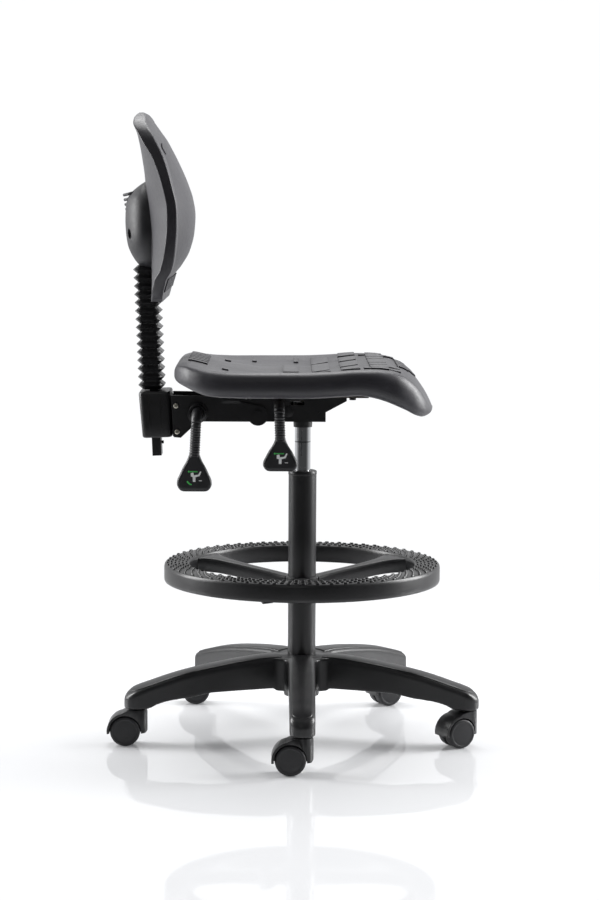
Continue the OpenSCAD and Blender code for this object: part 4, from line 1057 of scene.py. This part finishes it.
def make_details():
    tube_top = high("gas_tube").z
    ring_piece("tube_lip", "gas_tube", "painted_steel",
               [(24.2, tube_top - 7), (25.2, tube_top - 6.6), (25.5, tube_top - 5.6),
                (25.5, tube_top - 0.8), (25.1, tube_top - 0.1), (24.2, tube_top - 0.05)])
    ring_piece("cylinder_mark", "gas_cylinder", "soft_rubber",
               [(13.6, 529.2), (14.08, 529.3), (14.08, 530.7), (13.6, 530.8)])
    rod_top = high("gas_cylinder").z
    # Dark steel cap over the chrome top: painted shade, a dark cover put where the chrome inside the
    # housing would sit in shade
    ring_piece("painted_shade_sleeve", "mechanism_housing", "painted_steel",
               [(13.4, rod_top - 12), (17.5, rod_top - 12), (17.5, rod_top + 1), (6, rod_top + 1)])
    boss = [(-27 + 10 * math.cos(a), 587 + 10 * math.sin(a))
            for a in (2 * PI * i / 40 for i in range(40))]
    plate_on("housing_boss", "mechanism_housing", "painted_steel", boss, -44, 0.9)
    side = low("back_arm").y
    frame_out = rounded(35, 10.5, 2.5, 5, (-126.5, 607))
    plate_on("arm_tab", "back_arm", "painted_steel", frame_out, side, 0.9)
    plate_on("arm_tab_face", "back_arm", "painted_steel", rounded(29, 6, 1.5, 4, (-126.5, 607)),
             side - 0.9, 0.5)
    plate_on("socket_flange", "mechanism_housing", "painted_steel",
             rounded(24, 3, 1, 3, (-9, 609.5)), -44, 0.7)


# ---------------------------------------------------------------- stage, light, camera

def make_stage():
    bpy.ops.mesh.primitive_plane_add(size=60)
    floor = bpy.context.object
    floor.name = "floor"
    mat = bpy.data.materials.new("floor_sheet")
    mat.use_nodes = True
    nodes, links = mat.node_tree.nodes, mat.node_tree.links
    shader = nodes["Principled BSDF"]
    shader.inputs["Roughness"].default_value = 0.035
    shader.inputs["Specular IOR Level"].default_value = 0.3
    where = nodes.new("ShaderNodeTexCoord").outputs["Object"]
    cloud = nodes.new("ShaderNodeTexNoise")
    cloud.inputs["Scale"].default_value = 1.2
    links.new(where, cloud.inputs["Vector"])
    mix = nodes.new("ShaderNodeMix")
    mix.data_type = "RGBA"
    mix.inputs[6].default_value = (0.62, 0.625, 0.64, 1)
    mix.inputs[7].default_value = (0.65, 0.655, 0.665, 1)
    links.new(cloud.outputs["Fac"], mix.inputs[0])
    links.new(mix.outputs[2], shader.inputs["Base Color"])
    links.new(mix.outputs[2], shader.inputs["Emission Color"])
    shader.inputs["Emission Strength"].default_value = 0.13
    far = nodes.new("ShaderNodeVectorMath")
    far.operation = "LENGTH"
    links.new(where, far.inputs[0])
    fade = nodes.new("ShaderNodeMapRange")
    fade.interpolation_type = "SMOOTHSTEP"
    fade.inputs["From Min"].default_value = 0.75
    fade.inputs["From Max"].default_value = 2.1
    links.new(far.outputs["Value"], fade.inputs["Value"])
    clear = nodes.new("ShaderNodeBsdfTransparent")
    blend = nodes.new("ShaderNodeMixShader")
    links.new(fade.outputs["Result"], blend.inputs[0])
    links.new(shader.outputs[0], blend.inputs[1])
    links.new(clear.outputs[0], blend.inputs[2])
    links.new(blend.outputs[0], nodes["Material Output"].inputs["Surface"])
    floor.data.materials.append(mat)

    world = bpy.data.worlds.new("studio")
    bpy.context.scene.world = world
    world.use_nodes = True
    nodes, links = world.node_tree.nodes, world.node_tree.links
    back = nodes["Background"]
    direction = nodes.new("ShaderNodeTexCoord")
    split = nodes.new("ShaderNodeSeparateXYZ")
    links.new(direction.outputs["Generated"], split.inputs[0])
    fade = nodes.new("ShaderNodeMapRange")
    fade.interpolation_type = "SMOOTHSTEP"
    fade.inputs["From Min"].default_value = -0.7
    fade.inputs["From Max"].default_value = 0.6
    fade.inputs["To Min"].default_value = 0.06
    fade.inputs["To Max"].default_value = 0.72
    links.new(split.outputs["Y"], fade.inputs["Value"])
    seen = nodes.new("ShaderNodeLightPath")
    power = nodes.new("ShaderNodeMix")
    links.new(seen.outputs["Is Camera Ray"], power.inputs[0])
    links.new(fade.outputs["Result"], power.inputs[2])
    power.inputs[3].default_value = 1.02
    links.new(power.outputs[0], back.inputs["Strength"])
    back.inputs["Color"].default_value = (0.985, 0.99, 1, 1)

    def lamp(name, spot, aim, size, power):
        data = bpy.data.lights.new(name, "AREA")
        data.shape = "RECTANGLE"
        data.size, data.size_y = size
        data.energy = power
        ob = bpy.data.objects.new(name, data)
        bpy.context.scene.collection.objects.link(ob)
        ob.location = spot
        ob.rotation_euler = (Vector(aim) - Vector(spot)).to_track_quat("-Z", "Y").to_euler()
        return ob
    lamp("right_box", (2.5, 0.5, 1.45), (0, 0, 0.65), (1.3, 2.2), 125)
    lamp("left_box", (-2.5, 0.45, 1.45), (0, 0, 0.65), (1.1, 2.2), 90)
    lamp("top_box", (0.1, 1.2, 3.2), (0, 0, 0.4), (2.4, 1.8), 80)
    lamp("front_fill", (-0.6, -3.6, 2.6), (0, 0, 0.5), (1.6, 1.6), 6)

    data = bpy.data.cameras.new("camera")
    cam = bpy.data.objects.new("camera", data)
    bpy.context.scene.collection.objects.link(cam)
    data.sensor_fit = "VERTICAL"
    data.sensor_height = 36
    data.sensor_width = 24
    data.lens = 94.55
    data.clip_end = 100
    yaw, pitch, roll = -0.0063, 0.1112, 0.0055
    cy, sy, cp, sp = math.cos(yaw), math.sin(yaw), math.cos(pitch), math.sin(pitch)
    right0 = Vector((cy, sy, 0))
    up0 = Vector((-sy * sp, cy * sp, cp))
    ahead = Vector((-sy * cp, cy * cp, -sp))
    right = math.cos(roll) * right0 + math.sin(roll) * up0
    up = math.cos(roll) * up0 - math.sin(roll) * right0
    rot = Matrix((right, up, -ahead)).transposed().to_4x4()
    cam.matrix_world = Matrix.Translation((-0.0312, -4.195, 0.9825)) @ rot
    bpy.context.scene.camera = cam
    bpy.context.scene.view_settings.view_transform = "Standard"


make_seat()
make_back()
make_bellows()
make_dome()
make_bracket_cover()
make_levers()
make_base()
make_castors()
make_foot_ring()
make_details()
make_stage()
